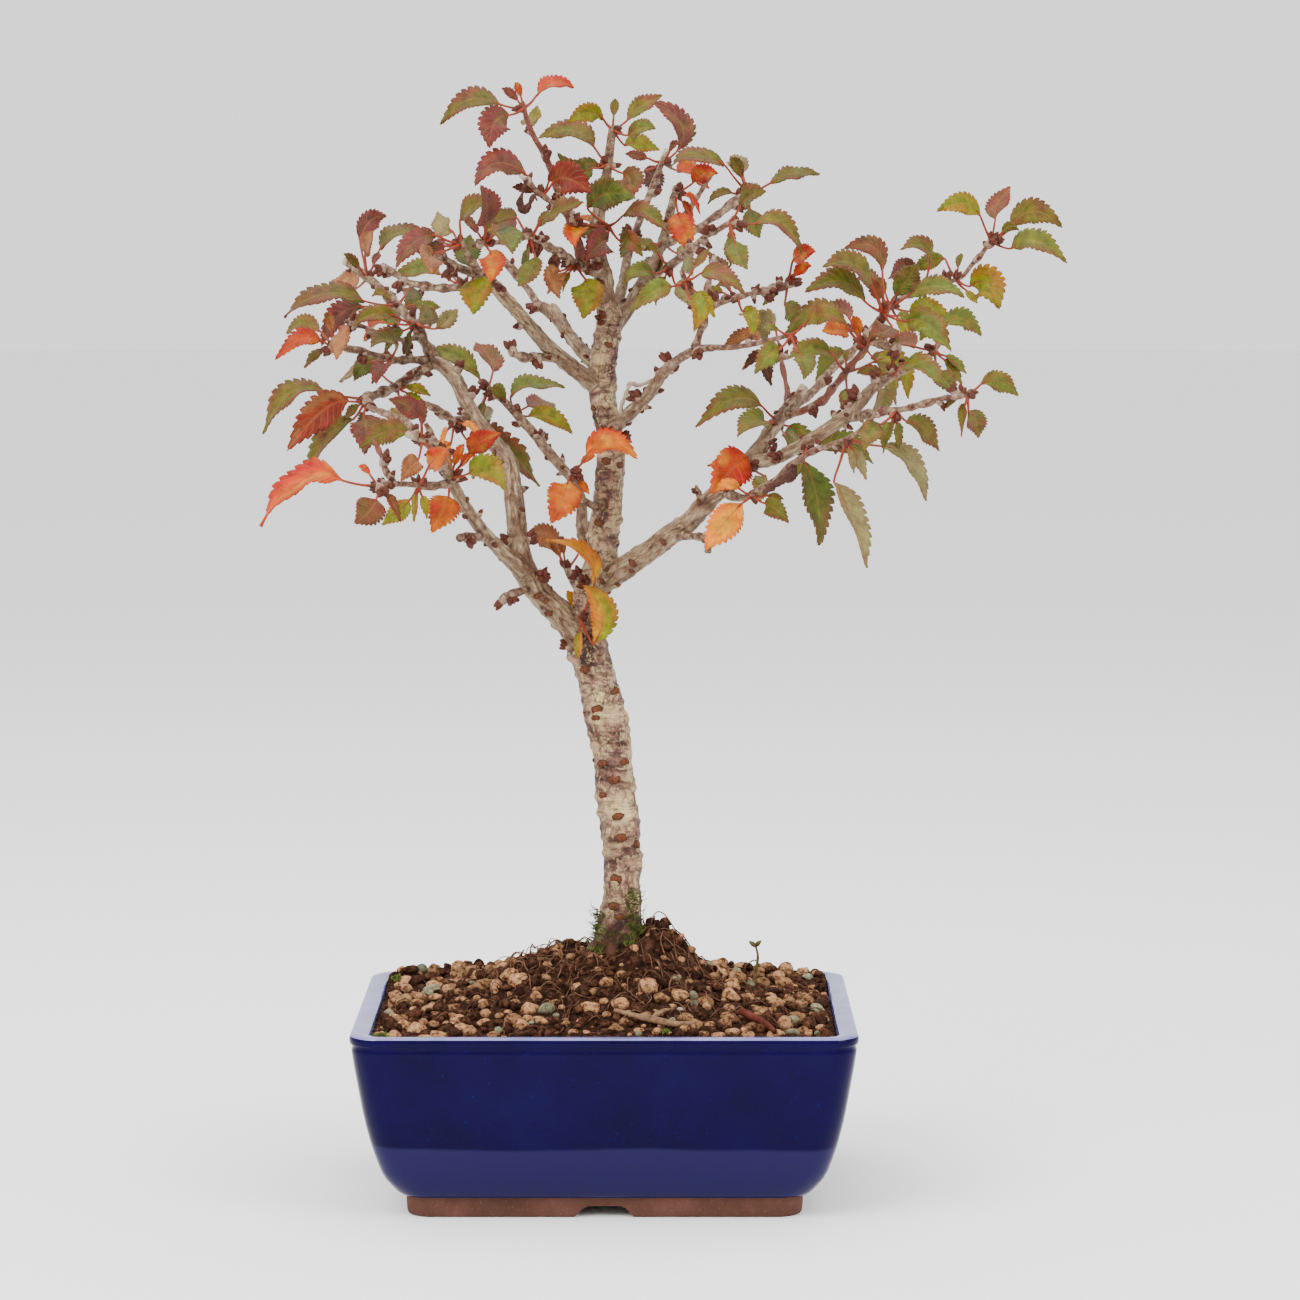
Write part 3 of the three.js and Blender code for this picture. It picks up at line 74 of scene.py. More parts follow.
# Wood, as [x, depth, z, radius] along each stem, in millimetres as seen from the front.
STEMS = {
    "trunk": [[7, 0, 36, 6.5], [6, 0, 62, 8.2], [5.2, 0, 88, 9.2], [5, 0, 101, 9.4], [6, 0, 112, 8.1],
        [6.7, 0, 125, 7.4], [6.8, 0, 137, 7.7], [5.8, 0, 148, 7.9], [4.2, 1, 160, 8.2], [3.2, 1, 172, 7.9],
        [2.2, 2, 182, 8.2], [0, 2, 192, 8.7], [-2, 2, 202, 8.0], [-4.6, 2, 212, 7.9], [-7.5, 2, 221, 8.4],
        [-8, 1, 232, 6.6], [-6.5, 1, 242, 6.9], [-2.5, 1, 253, 6.7], [-1, 1, 264, 6.2], [0.5, 0, 276, 6.0],
        [1.8, 0, 288, 6.0], [2.2, 0, 298, 5.7], [1.5, 0, 308, 5.2], [-0.3, 0, 318, 5.5],
        [-1.2, 0, 327, 5.8], [-0.8, 0, 336, 5.2], [0.5, 1, 345, 5.3], [1.5, 2, 353, 5.2], [0, 3, 361, 4.2],
        [-0.6, 4, 370, 3.9], [-2.8, 4, 379, 3.5], [-3, 4, 389, 3.3], [-2, 5, 398, 2.8], [0.4, 6, 409, 2.2],
        [2, 8, 420, 1.9], [3, 9, 430, 1.6]],
    "left_limb": [[-7, 2, 219, 6], [-14, 0, 229, 5.8], [-20, -2, 236, 5.2], [-26, -4, 242, 4.9],
        [-31, -6, 249, 5.0], [-34, -6, 256, 4.6], [-35.2, -4, 265, 4.3], [-36.2, -2, 275, 4.1],
        [-37.2, 2, 285, 3.9], [-38.5, 6, 294, 3.7], [-43.5, 12, 302, 3.5], [-50, 18, 310, 3.4],
        [-55.5, 24, 319, 3.3], [-59.5, 28, 328, 3.1], [-65, 32, 334, 3.0], [-70, 34, 336, 2.8]],
    "left_low": [[-30, -6, 249, 4.0], [-38, -10, 256, 3.5], [-44, -16, 262, 3.0], [-50, -22, 268.5, 2.7],
        [-56, -28, 277, 2.5], [-61, -34, 286, 2.3], [-64, -40, 293, 2.1], [-68, -44, 300, 1.9],
        [-73, -47, 304, 1.6], [-77.5, -49, 306, 1.3]],
    "left_low_stub": [[-66, -42, 297, 1.5], [-69, -39, 305, 1.3], [-72, -37, 311, 1.1]],
    "left_low_runner": [[-61, -35, 287, 1.6], [-70, -44, 286, 1.4], [-78, -52, 286.5, 1.3],
        [-86, -58, 287, 1.2], [-92, -62, 285.5, 1.1]],
    "left_low_riser": [[-85, -57, 287, 1.2], [-88.5, -56, 293, 1.1], [-90.5, -53, 299, 1.0],
        [-93, -50, 305, 0.9]],
    "left_crossing": [[-65, -41, 295, 1.6], [-74, -34, 306, 1.4], [-82, -26, 312.5, 1.3],
        [-89, -20, 315.5, 1.3], [-95, -14, 318, 1.2]],
    "left_top_arm": [[-68, 34, 335, 2.4], [-72, 38, 343, 2.1], [-76, 42, 350, 2.0], [-82, 46, 357, 2.0],
        [-88, 50, 363.5, 2.1], [-95, 54, 369.5, 2.2], [-101, 57, 374.5, 2.1], [-104, 58, 376, 1.6]],
    "left_top_spur": [[-69, 34, 337, 1.8], [-73, 28, 346, 1.7], [-77, 24, 352, 1.4]],
    "left_side_twig": [[-74, 40, 346, 1.3], [-81, 36, 344.5, 1.1], [-88, 32, 346.5, 1.0],
        [-96, 28, 349.5, 1.0], [-104, 24, 352, 0.9]],
    "left_out_arm": [[-68, 34, 335.5, 2.0], [-76, 30, 336.5, 1.8], [-83, 24, 336.5, 1.6],
        [-90, 18, 338, 1.4], [-97, 12, 340, 1.3], [-104, 7, 341.3, 1.2], [-110, 2, 342.5, 1.0]],
    "left_down_arm": [[-69, 34, 335, 2.2], [-75, 28, 331.5, 2.1], [-80, 22, 328, 2.0], [-86, 16, 325, 1.9],
        [-92, 10, 322.5, 2.0], [-97, 5, 320.5, 1.8]],
    "left_inner_twig": [[-53, 22, 314, 1.8], [-60, 14, 312.5, 1.5], [-66, 8, 316, 1.4], [-72, 3, 319, 1.2]],
    "back_arm": [[-4, 3, 256, 3.4], [-9, 9, 267, 2.6], [-9.5, 14, 278, 2.4], [-12, 18, 287, 2.3],
        [-18, 21, 294, 2.3], [-24, 24, 301, 2.2], [-29, 26, 307.5, 2.1], [-34, 27, 313, 2.1],
        [-39, 28, 318.5, 1.8], [-45, 28, 324, 1.6], [-51, 29, 328.5, 1.3]],
    "knotty_spur": [[-1, -1, 276, 1.8], [-9, -7, 280.5, 1.6], [-13, -9, 285, 1.6], [-13.5, -10, 292, 1.3]],
    "back_stub": [[-8, 3, 241, 2.6], [-13, 10, 248, 2.0], [-16, 14, 254, 1.6]],
    "upper_left_arm": [[-2, 0, 326, 4.2], [-11, -5, 332, 3.6], [-18, -9, 337.5, 3.3], [-24, -13, 343, 3.1],
        [-30, -17, 350, 2.9], [-36, -21, 357, 2.8], [-42, -25, 363.5, 2.7], [-47, -28, 369, 2.4],
        [-53, -31, 371.5, 2.0], [-60, -35, 374, 1.8], [-67, -39, 378.5, 1.7], [-74, -42, 381.5, 1.5]],
    "upper_left_flat": [[-46, -28, 367.5, 2.0], [-56, -24, 366, 1.8], [-64, -20, 365, 1.7],
        [-72, -17, 366, 1.6], [-79, -15, 368, 1.5], [-85, -14, 371.5, 1.4], [-89, -14, 374, 1.2]],
    "upper_left_riser": [[-49, -29, 370, 1.5], [-54, -37, 377, 1.4], [-58, -42, 385, 1.3]],
    "upper_left_low": [[-17, -8, 337, 2.0], [-26, -17, 338, 1.8], [-32, -23, 337.5, 1.7],
        [-37.5, -29, 339, 1.6]],
    "rear_left_arm": [[-1, 2, 332, 3.4], [-9, 11, 340, 2.9], [-14, 18, 346, 2.8], [-18, 23, 352, 2.9],
        [-21.5, 27, 357.5, 2.9]],
    "rear_left_twig": [[-20, 25, 354, 2.2], [-27, 30, 359, 1.8], [-31, 34, 365, 1.6], [-36, 38, 371, 1.5],
        [-42, 42, 379, 1.3]],
    "crown_left_stub": [[-1, 3, 371, 2.8], [-8, 0, 374, 2.6], [-10, -5, 380, 2.4], [-12, -9, 387, 2.2],
        [-14, -12, 393, 2.0], [-16, -13, 399, 1.8], [-19, -14, 404, 1.6], [-21, -15, 411, 1.5],
        [-24, -16, 418, 1.4], [-28, -17, 425, 1.3], [-31, -18, 432, 1.2], [-33, -18, 440, 1.1]],
    "crown_left_cut": [[-14, -12, 394, 1.3], [-20, -18, 398.5, 1.1], [-26, -23, 403, 1.0],
        [-32.5, -28, 409, 0.9]],
    "crown_left_arm": [[-6, 2, 373, 2.0], [-13, -8, 376, 1.8], [-19, -16, 380, 1.7], [-25, -23, 383, 1.7],
        [-31, -29, 386, 1.5], [-38, -35, 384, 1.2], [-46, -42, 383.5, 1.1], [-51, -46, 384, 1.0]],
    "crown_right_arm": [[1, 2, 348, 4.2], [9, 6, 357, 3.0], [14, 10, 366, 2.6], [18.5, 14, 373, 2.4],
        [22, 18, 381, 2.2], [24.5, 20, 389, 2.1], [26.5, 22, 397, 2.0], [28.5, 24, 405, 1.7]],
    "crown_front_arm": [[14, 9, 365.5, 1.8], [21, 2, 370.5, 1.4], [27, -6, 375, 1.4], [33, -13, 379.5, 1.4],
        [39, -20, 385, 1.3], [46, -26, 389, 1.3], [52, -31, 392.5, 1.2]],
    "crown_back_cut": [[23, 19, 383, 1.7], [31, 28, 386, 1.5], [38, 35, 389.5, 1.5], [46, 42, 395.5, 1.5],
        [53, 48, 400.5, 1.5], [59, 52, 404.8, 1.2]],
    "crown_thin_cut": [[25, 21, 391, 1.3], [32, 30, 395, 1.1], [37, 37, 402, 1.0], [42, 44, 409.5, 0.8]],
    "crown_rear_stem": [[2.5, 2, 352, 2.8], [7, 14, 366, 2.3], [9, 24, 378, 2.0], [13, 33, 390, 1.7],
        [18, 42, 403, 1.6], [24.5, 50, 419.5, 1.4]],
    "right_limb": [[-5, 1, 246, 5.6], [4, -2, 250.5, 5.0], [12, -6, 256, 4.7], [20, -10, 261.5, 4.4],
        [27, -14, 267, 4.4], [34, -18, 271.5, 4.0], [39.5, -22, 278, 3.9], [46, -24, 284, 3.6],
        [53, -24, 290, 3.5], [59, -22, 297, 3.5], [63.5, -18, 303.5, 3.0], [67.5, -14, 309.5, 2.9],
        [72, -10, 315.5, 2.9], [76, -6, 320, 2.4], [79, -4, 324.5, 1.9]],
    "right_big_arm": [[58, -22, 295.5, 3.0], [68, -28, 297, 2.7], [75, -34, 300, 2.6], [83, -40, 305, 2.6],
        [91, -44, 310, 2.7], [97, -46, 314, 2.9], [102, -44, 319, 2.6], [107, -41, 325, 2.3],
        [114, -38, 329.5, 1.9], [121, -34, 333, 1.6], [128, -30, 336.5, 1.4], [134.5, -26, 343.5, 1.1]],
    "right_long_twig": [[95, -45, 312.5, 2.2], [104, -52, 314.5, 1.8], [112, -58, 316, 1.5],
        [120, -62, 317, 1.4], [127, -66, 318.5, 1.3], [135, -70, 321, 1.1], [141, -73, 322, 1.0],
        [147, -75, 323.7, 0.9]],
    "right_dark_twig": [[46, -23, 284, 1.9], [55, -32, 281, 1.5], [62, -38, 284.5, 1.4],
        [70, -45, 290, 1.3], [77, -51, 296, 1.2], [84, -55, 300, 1.1], [92, -59, 303, 1.1],
        [98, -63, 305.5, 1.0], [103.5, -67, 309.5, 0.9], [109, -71, 315, 0.8]],
    "right_back_arm": [[70, -12, 312.5, 2.2], [78, -2, 319.5, 2.0], [84, 4, 325, 1.9], [90, 9, 331.5, 1.8],
        [97, 14, 338, 1.7], [103, 18, 344.5, 1.6], [109, 22, 351, 1.5], [113, 26, 357, 1.3],
        [118, 30, 361, 1.2], [125, 34, 363.5, 1.1], [131, 38, 366, 1.1], [137, 41, 367.5, 1.1],
        [143, 44, 370, 1.1], [148, 48, 376, 1.1], [152, 50, 381, 1.1], [155, 52, 385, 0.9]],
    "right_red_shoot": [[71, -11, 314, 1.9], [79, -14, 316.5, 1.8], [86, -17, 319.5, 1.7],
        [92, -22, 326, 1.5], [97, -26, 332.5, 1.4], [102, -29, 339, 1.3], [107, -31, 345.5, 1.2],
        [110, -32, 351, 1.1], [112, -33, 357, 0.9]],
    "right_bud_spur": [[105, -30, 343.5, 1.4], [112, -34, 342.5, 1.5], [118, -38, 341.5, 1.4]],
    "right_upright": [[73, -9, 315.5, 1.3], [73, -2, 324, 1.0], [71.5, 4, 332, 1.0], [70.5, 10, 340, 0.9]],
    "middle_right_arm": [[1, 0, 308, 3.6], [8, -7, 313.5, 3.0], [14, -13, 319, 2.7], [19, -19, 325, 2.5],
        [23.5, -24, 331.5, 2.4], [29, -30, 336.5, 2.0], [35, -35, 340, 1.9], [42, -40, 341.5, 1.6],
        [50, -46, 341.5, 1.3], [57, -51, 342.5, 1.3], [64, -56, 344, 1.4], [70, -60, 345.5, 1.2],
        [76, -63, 347, 1.0]],
    "middle_right_riser": [[35.5, -35.5, 340, 1.8], [38, -37, 347, 1.6], [39, -37, 353, 1.6],
        [38.5, -37, 358, 1.7], [35, -38, 362, 1.5], [32.5, -40, 367, 1.3], [30.5, -42, 372, 1.1]],
    "middle_right_cut": [[38.5, -37, 355, 1.4], [41, -31, 365, 1.1], [43.5, -26, 376.5, 0.9]],
    "middle_right_out": [[38, -37, 356.5, 1.4], [46, -29, 359.5, 1.2], [54, -22, 362, 1.1],
        [62, -16, 364, 1.1], [69, -11, 366, 1.0], [74, -8, 367.3, 0.9]],
    "left_spur_a": [[-27, -4, 246, 1.6], [-36, -13, 243, 1.4], [-41, -17, 241, 1.6]],
    "left_spur_b": [[-46, -18, 265, 1.7], [-53, -27, 265.5, 1.5], [-59, -33, 265, 1.5]],
    "right_spur_a": [[28, -14, 266, 1.8], [36, -25, 266, 1.6], [41, -31, 264, 1.5], [41.5, -33, 259, 1.2]],
    "right_spur_b": [[39.5, -21, 277, 1.3], [37.5, -17, 283, 1.0], [36.5, -15, 286, 0.8]],
}

# Leaves, spray by spray. First comes the seat, [x, depth, z], a knot of buds on the twig. A leaf is
# its foot x z, its middle x z and its tip x z, all as seen from the front, then the width that is
# seen, how far back of the seat its tip lies, and its colour.
SPRAYS = {
    "far_left_crest": [[-95, 54, 369.5],
        [-98, 384, -94, 392, -87, 394, 9, 14, "plum"], [-96, 378, -95, 383, -93, 388, 6, -17, "tan"],
        [-90, 381, -82, 387.5, -71, 388, 7, 22, "olive"], [-100, 365, -104, 368, -110, 368, 8, 24, "tan"]],
    "far_left_plum": [[-83, 46, 358.5],
        [-83, 350, -90, 352, -97, 344, 8, 30, "coral"], [-96, 360, -112, 363, -129, 354, 8, -8, "olive"],
        [-97, 358, -107, 354, -114, 342, 10, 12, "plum"], [-78, 366, -77, 362, -80, 356, 9, 22, "green"]],
    "left_inner_crest": [[-76.5, 24.5, 351.5],
        [-84, 354, -93, 355, -101, 350, 7, -9, "olive"], [-70, 350, -71, 354, -73, 359, 8, -18, "pale"],
        [-68, 349, -63, 353, -59, 357, 7, 4, "pale"], [-83, 351, -86, 354, -89, 356, 6, 13, "deep"]],
    "left_point": [[-108, 3.5, 342.2],
        [-106, 350, -106, 345, -108, 337, 8, -20, "tan"], [-114, 348, -122, 351, -128, 347, 6, 16, "olive"],
        [-113, 344, -122, 345, -132.5, 337, 7, -7, "coral"]],
    "left_underside": [[-86, 21.3, 337],
        [-83, 343, -88, 345, -94, 342, 7, -24, "olive"], [-88, 335, -90, 333, -92, 327, 7, -18, "plum"],
        [-93, 336, -97, 334, -101, 328, 7, 10, "deep"]],
    "back_arm_left": [[-47, 28.3, 325.5],
        [-51, 330, -60, 338, -70, 341, 8, 12, "green"], [-50, 318, -49, 314, -46, 308, 8, 20, "pale"],
        [-45, 332, -47, 338, -52, 344, 8, 26, "bronze"]],
    "back_arm_right": [[-37, 27.5, 316],
        [-38, 322, -29, 327, -16, 325.5, 6, 16, "green"], [-31, 318, -26, 319, -20, 319, 6, 26, "bronze"],
        [-31, 314, -22, 314, -13, 307, 7, 10, "lime"]],
    "upper_left_fan": [[-57.5, -41, 383],
        [-67, 386, -76, 384, -84, 373, 9, -12, "plum"], [-58, 392, -53, 398, -44, 400, 7, -16, "olive"],
        [-69, 379, -70, 377, -69, 371, 8, -26, "tan"], [-61, 388, -65, 390, -67, 396, 8, 16, "pale"]],
    "upper_left_mat": [[-56, -24, 366],
        [-53, 369, -52, 364, -53, 355, 13, -20, "lime"], [-54, 374, -55, 380, -54, 387, 11, 12, "deep"],
        [-66, 371, -75, 373, -85, 370, 7, 14, "green"]],
    "crown_left_end": [[-48, -43.5, 383.7],
        [-48, 390, -47, 397, -49, 406, 8, -26, "plum"], [-46, 380, -45, 375, -46, 368, 10, -21, "orange"],
        [-43, 388, -40, 386, -37, 379, 8, -28, "green"]],
    "crown_left_mid": [[-30, -28, 385.5],
        [-35, 393, -41, 394, -48, 391, 6, 12, "olive"], [-36, 389, -42, 389, -49, 385, 7, 26, "bronze"],
        [-26, 392, -18, 396, -9, 400, 6, -22, "olive"], [-28, 378, -30, 372, -35, 366, 8, -18, "green"]],
    "crown_crimson": [[-25, -22, 402.2],
        [-31, 410, -43, 415, -52, 406, 10, -12, "plum"], [-21, 407, -15, 409, -5, 403, 14, -10, "crimson"]],
    "crown_left_tip": [[-32, -18, 437],
        [-41, 438, -54, 440, -66, 430.5, 8, 6, "olive"], [-38, 434, -44, 431, -46, 421, 13, -14, "plum"],
        [-31, 430, -29, 432, -27, 438, 6, 18, "lime"], [-27, 442, -20, 447, -12, 445, 6, 14, "coral"]],
    "crown_top_left": [[1.2, 6.8, 414.5],
        [-4, 421, -13, 428, -27, 425, 8, 12, "olive"], [-5, 413, -11, 412, -19, 419, 9, -14, "deep"],
        [7, 411, 10, 408, 9, 400, 12, -12, "bronze"]],
    "crown_top": [[3, 9, 428.5],
        [-1, 433, -7, 435, -15, 431, 8, -10, "lime"], [9, 432, 15, 438, 23, 442, 7, 8, "olive"],
        [9, 426, 14, 429, 20, 429, 7, -17, "green"], [8, 422, 14, 423, 22, 420, 7, 12, "lime"]],
    "crown_rear": [[23, 48.5, 415.5],
        [29, 420, 30, 431, 17, 440.5, 9, 8, "plum"], [16, 412, 19, 409, 20, 401, 10, 16, "plum"],
        [29, 412, 35, 411, 42, 405, 8, 24, "coral"]],
    "crown_right_high": [[57, 50.5, 403.5],
        [48, 414, 37, 418, 26, 414, 7, -16, "olive"], [55, 411, 53, 415, 50, 418, 8, 20, "pale"],
        [66, 407, 75, 411, 86, 411, 6, 8, "olive"], [58, 397, 59, 392, 62, 385, 9, 18, "green"]],
    "crown_right_arm": [[28, 23.6, 403.5],
        [35, 407, 39, 411, 45, 411, 8, -16, "coral"], [29, 396, 31, 389, 34, 380, 11, -14, "coral"]],
    "crown_centre": [[1.5, 1.5, 390],
        [7, 394, 15, 396, 25, 388, 7, -13, "olive"], [1, 384, -2, 383, -8, 376, 12, -18, "plum"],
        [6, 384, 10, 384, 15, 378, 8, -16, "olive"], [-9, 391, -12, 388, -12, 382, 9, -22, "orange"],
        [-7, 397, 1, 403, 12, 401, 13, -20, "deep"]],
    "crown_right_mid": [[23, 19, 383.7],
        [18, 382, 12, 382, 6, 378, 7, -24, "green"], [29, 379, 32, 377, 35, 370, 8, 22, "pale"],
        [21, 376, 19, 372, 20, 365, 7, 24, "olive"]],
    "crown_lime": [[-12, -7, 375.7],
        [-18, 372, -21, 369, -18, 361, 8, -20, "tan"], [-8, 369, -7, 363, -9, 353, 13, -18, "lime"]],
    "crown_front": [[26, -4.5, 374.2],
        [20, 371, 14, 372, 7, 367, 7, -18, "green"], [28, 367, 32, 364, 35, 357, 8, -12, "pale"]],
    "crown_front_end": [[50, -30, 391.5],
        [60, 391, 71, 391, 79, 378.5, 7, 6, "olive"], [52, 384, 53, 379, 57, 373, 9, -18, "green"],
        [54, 398, 58, 402, 64, 404, 8, -22, "olive"]],
    "riser_top": [[32, -40.4, 368.3],
        [27, 366, 20, 364, 10, 356, 8, -8, "green"], [38, 371, 46, 371, 56, 363, 7, -14, "olive"],
        [34, 361, 37, 358, 36, 348, 8, -18, "lime"]],
    "middle_twig": [[53, -23, 361.8],
        [55, 356, 58, 354, 59, 346, 7, -16, "lime"], [47, 368, 46, 373, 41, 380, 7, 14, "olive"]],
    "middle_tip": [[73, -8.5, 367.1],
        [75, 376, 79, 379, 84, 380, 7, -18, "coral"], [72, 359, 75, 356, 77, 349, 8, 16, "green"]],
    "inner_right": [[70.7, 9.5, 339],
        [68, 350, 64, 352, 64, 342, 9, 18, "pale"], [62, 344, 56, 346, 47, 342, 6, 12, "tan"],
        [66, 336, 65, 333, 67, 326, 5, 8, "dry"]],
    "middle_end": [[74.5, -62.3, 346.6],
        [80, 351, 88, 355, 97, 351, 8, -12, "olive"], [70, 341, 66, 339, 60, 331, 9, -12, "green"],
        [77, 340, 80, 336, 80, 329, 8, -18, "green"]],
    "shoot_high": [[104, -30, 341.5],
        [96, 351, 85, 355, 71, 345, 9, 6, "green"], [98, 348, 93, 349, 87, 348, 7, -18, "orange"]],
    "shoot_low": [[96.5, -25.6, 331.7],
        [91, 339, 83, 341, 73, 337, 7, -16, "green"], [108, 336, 118, 335, 122, 321, 8, 10, "lime"],
        [97, 325, 98, 321, 104, 311, 9, 16, "green"]],
    "back_arm_green": [[103, 18, 344.5],
        [107, 338, 113, 332, 117, 318, 9, 16, "olive"], [98, 353, 94, 357, 86, 356, 7, 16, "plum"],
        [96, 340, 90, 336, 84, 328, 9, 18, "green"]],
    "big_arm_end": [[132, -27.5, 341],
        [135, 350, 143, 353, 151, 346, 8, 10, "green"], [133, 333, 136, 329, 142, 322, 8, -16, "green"],
        [124, 342, 119, 344, 112, 341, 7, 24, "bronze"]],
    "big_arm_mid": [[115, -37.5, 330],
        [119, 335, 127, 334, 136, 327, 8, -22, "green"], [110, 325, 111, 320, 110, 313, 8, 18, "olive"]],
    "long_twig": [[117, -60.5, 316.6],
        [121, 312, 128, 309, 134.5, 300, 8, 14, "olive"], [111, 311, 107, 308, 104, 300, 8, -18, "green"]],
    "long_twig_tip": [[145.5, -74.5, 323.4],
        [151, 327, 158, 328, 166, 322, 8, 10, "green"], [146, 316, 149, 312, 150, 305, 8, 14, "olive"]],
    "hanging_green": [[81, -39, 304],
        [85, 300, 97, 303, 108, 295, 9, 12, "green"], [80, 296, 85, 281, 86.5, 262, 12, -6, "deep"]],
    "hanging_pale": [[97, -62.4, 305.2],
        [111, 302, 123, 296, 129.5, 280, 7, 6, "pale"], [92, 288, 100, 273, 106, 253, 8, -4, "pale"]],
    "limb_green": [[69.5, -12.5, 312.3],
        [63, 318, 52, 321, 36, 310, 9, -12, "olive"], [72, 307, 76, 305, 78, 297, 14, 26, "green"],
        [64, 312, 60, 312, 53, 306, 8, -26, "green"]],
    "limb_flame": [[58, -25, 294.5],
        [57, 298, 51, 293, 42, 283, 16, -12, "coral"], [64, 290, 63, 286, 60, 279, 7, 18, "lime"]],
    "limb_gold": [[59, -35.7, 282.8],
        [55, 279, 48, 271, 40, 260, 13, -8, "yellow"], [64, 279, 68, 277, 74, 271, 8, -12, "olive"]],
    "shoot_crest": [[111.6, -32.8, 355.5],
        [107, 366, 99, 375, 87, 374, 8, -16, "olive"], [111, 372, 107, 382, 95, 381, 8, 6, "bronze"],
        [104, 360, 94, 368, 80, 364, 9, -10, "olive"], [116, 362, 121, 369, 125, 375, 10, -14, "deep"],
        [120, 352, 129, 351, 139, 340, 11, -18, "green"], [115, 350, 112, 348, 106, 347, 8, -24, "bronze"]],
    "back_fan": [[114.5, 27.4, 358.3],
        [121, 362, 132, 366, 144, 362, 8, -12, "green"], [122, 356, 130, 357, 140, 352, 9, 12, "lime"],
        [109, 364, 106, 369, 101, 375, 8, 18, "olive"]],
    "far_right_low": [[127.5, 36, 364.8],
        [130, 375, 127, 382, 118, 381, 7, -18, "olive"], [123, 372, 119, 373, 113, 369, 8, 20, "plum"],
        [130, 357, 130, 352, 126, 344, 9, 16, "green"]],
    "far_right_mid": [[140.5, 42.7, 368.8],
        [136, 377, 130, 376, 123, 372, 7, 10, "green"], [146, 366, 153, 367, 158, 357, 15, -14, "lime"]],
    "far_right_tip": [[154.5, 51.7, 384],
        [150, 394, 143, 399, 132.5, 396, 9, -10, "lime"], [162, 389, 171, 396, 183, 389.5, 11, 4, "olive"],
        [162, 381, 172, 384, 185, 375.5, 9, -14, "green"], [156, 393, 157, 399, 162, 406, 8, 18, "bronze"]],
    "low_left_tip": [[-95.8, 6.2, 320.9],
        [-113, 324, -127, 323, -138, 307, 8, 8, "olive"],
        [-103, 320, -114, 316, -128, 300, 14, -8, "crimson"],
        [-101, 313, -112, 305, -121.5, 289, 8, 12, "olive"],
        [-97, 314, -96, 309, -97, 299, 13, -16, "plum"]],
    "low_left_mid": [[-83.5, 18.5, 326.3],
        [-90, 331, -98, 333, -107, 328, 7, 30, "green"], [-82, 318, -82, 314, -84, 306, 9, 20, "lime"]],
    "low_left_coral": [[-90.5, -61, 286],
        [-105, 288, -122, 289, -139.5, 270, 9, -6, "coral"],
        [-92, 281, -95, 276, -101, 271, 12, -14, "bronze"]],
    "low_left_lime": [[-75, -49.5, 286.2],
        [-79, 280, -83, 276, -90, 270, 8, 10, "lime"], [-71, 294, -68, 297, -63, 301, 8, -18, "orange"]],
    "low_left_cut": [[-73.5, -47.3, 304.3],
        [-75, 297, -78, 294, -82, 288, 8, -16, "tan"], [-79, 307, -88, 308, -99, 301, 10, 10, "olive"],
        [-74, 313, -79, 318, -87, 321, 8, -14, "plum"]],
    "low_left_flame": [[-62.5, -37, 289.5],
        [-63, 282, -65, 277, -70, 267, 13, -2, "orange"], [-55, 299, -50, 304, -42, 307, 9, -14, "coral"],
        [-55, 291, -48, 293, -40, 284, 10, -22, "lime"]],
    "inner_left": [[-60.5, 13.3, 312.6],
        [-55, 304, -42, 302, -26, 286, 10, 22, "olive"], [-62, 303, -66, 300, -71, 292, 9, 12, "yellow"]],
    "knotty": [[-13.5, -10, 291.5],
        [-15, 288, -17, 281, -22, 271, 14, -14, "orange"], [-8, 297, 1, 304, 13, 297, 9, -8, "orange"]],
    "trunk_front": [[-10, -4.5, 232],
        [-5, 222, -1, 235, -9, 246, 11, -6, "half_lime"], [-4.5, 246, -8, 258, -24, 265, 5, -8, "peach"]],
    "trunk_fork": [[-15.4, 13.2, 252.5],
        [-19, 259, -24, 266, -31, 267, 10, 10, "tan"], [-10, 260, -8, 267, -11, 276, 7, 26, "tan"]],
}


# Places and paths

def seen(x, depth, z):
    """The real place, in metres, of a point that the eye sees at x and z, and that lies depth back."""
    y = depth * CROWN_DEPTH
    spread = (y - EYE.y) / -EYE.y
    place = Vector((EYE.x + (x - EYE.x) * spread, y, EYE.z + (z - EYE.z) * spread))
    return place * MM + POT_CENTRE


def in_pot(x, y, z):
    """A place in millimetres from the middle of the pot's foot."""
    return Vector((x, y, z)) * MM + POT_CENTRE


def smooth_step(low, high, value):
    share = min(max((value - low) / (high - low), 0), 1)
    return share * share * (3 - 2 * share)


def read_table(table, place):
    """The value at a place in a table of [place, value] rows."""
    for (start, low), (end, high) in zip(table, table[1:]):
        if place <= end:
            return low + (high - low) * (place - start) / (end - start)
    return table[-1][1]


def drawn_vector(draw, reach):
    """A vector with each part drawn between -reach and reach."""
    return Vector([draw.uniform(-reach, reach) for _ in range(3)])


def level_way(turn):
    """The level direction at a turn, in radians."""
    return Vector((math.cos(turn), math.sin(turn), 0))


def square_to(vector, way):
    """What is left of a vector without its part along a way."""
    return vector - way * vector.dot(way)


def frame_of(place, side, third, along):
    """A turn onto three directions, then a move to a place."""
    return Matrix.Translation(place) @ Matrix((side, third, along)).transposed().to_4x4()


def facing(place, way):
    """Stands a shape's own Z along a way, at a place."""
    return Matrix.Translation(place) @ way.to_track_quat("Z", "Y").to_matrix().to_4x4()


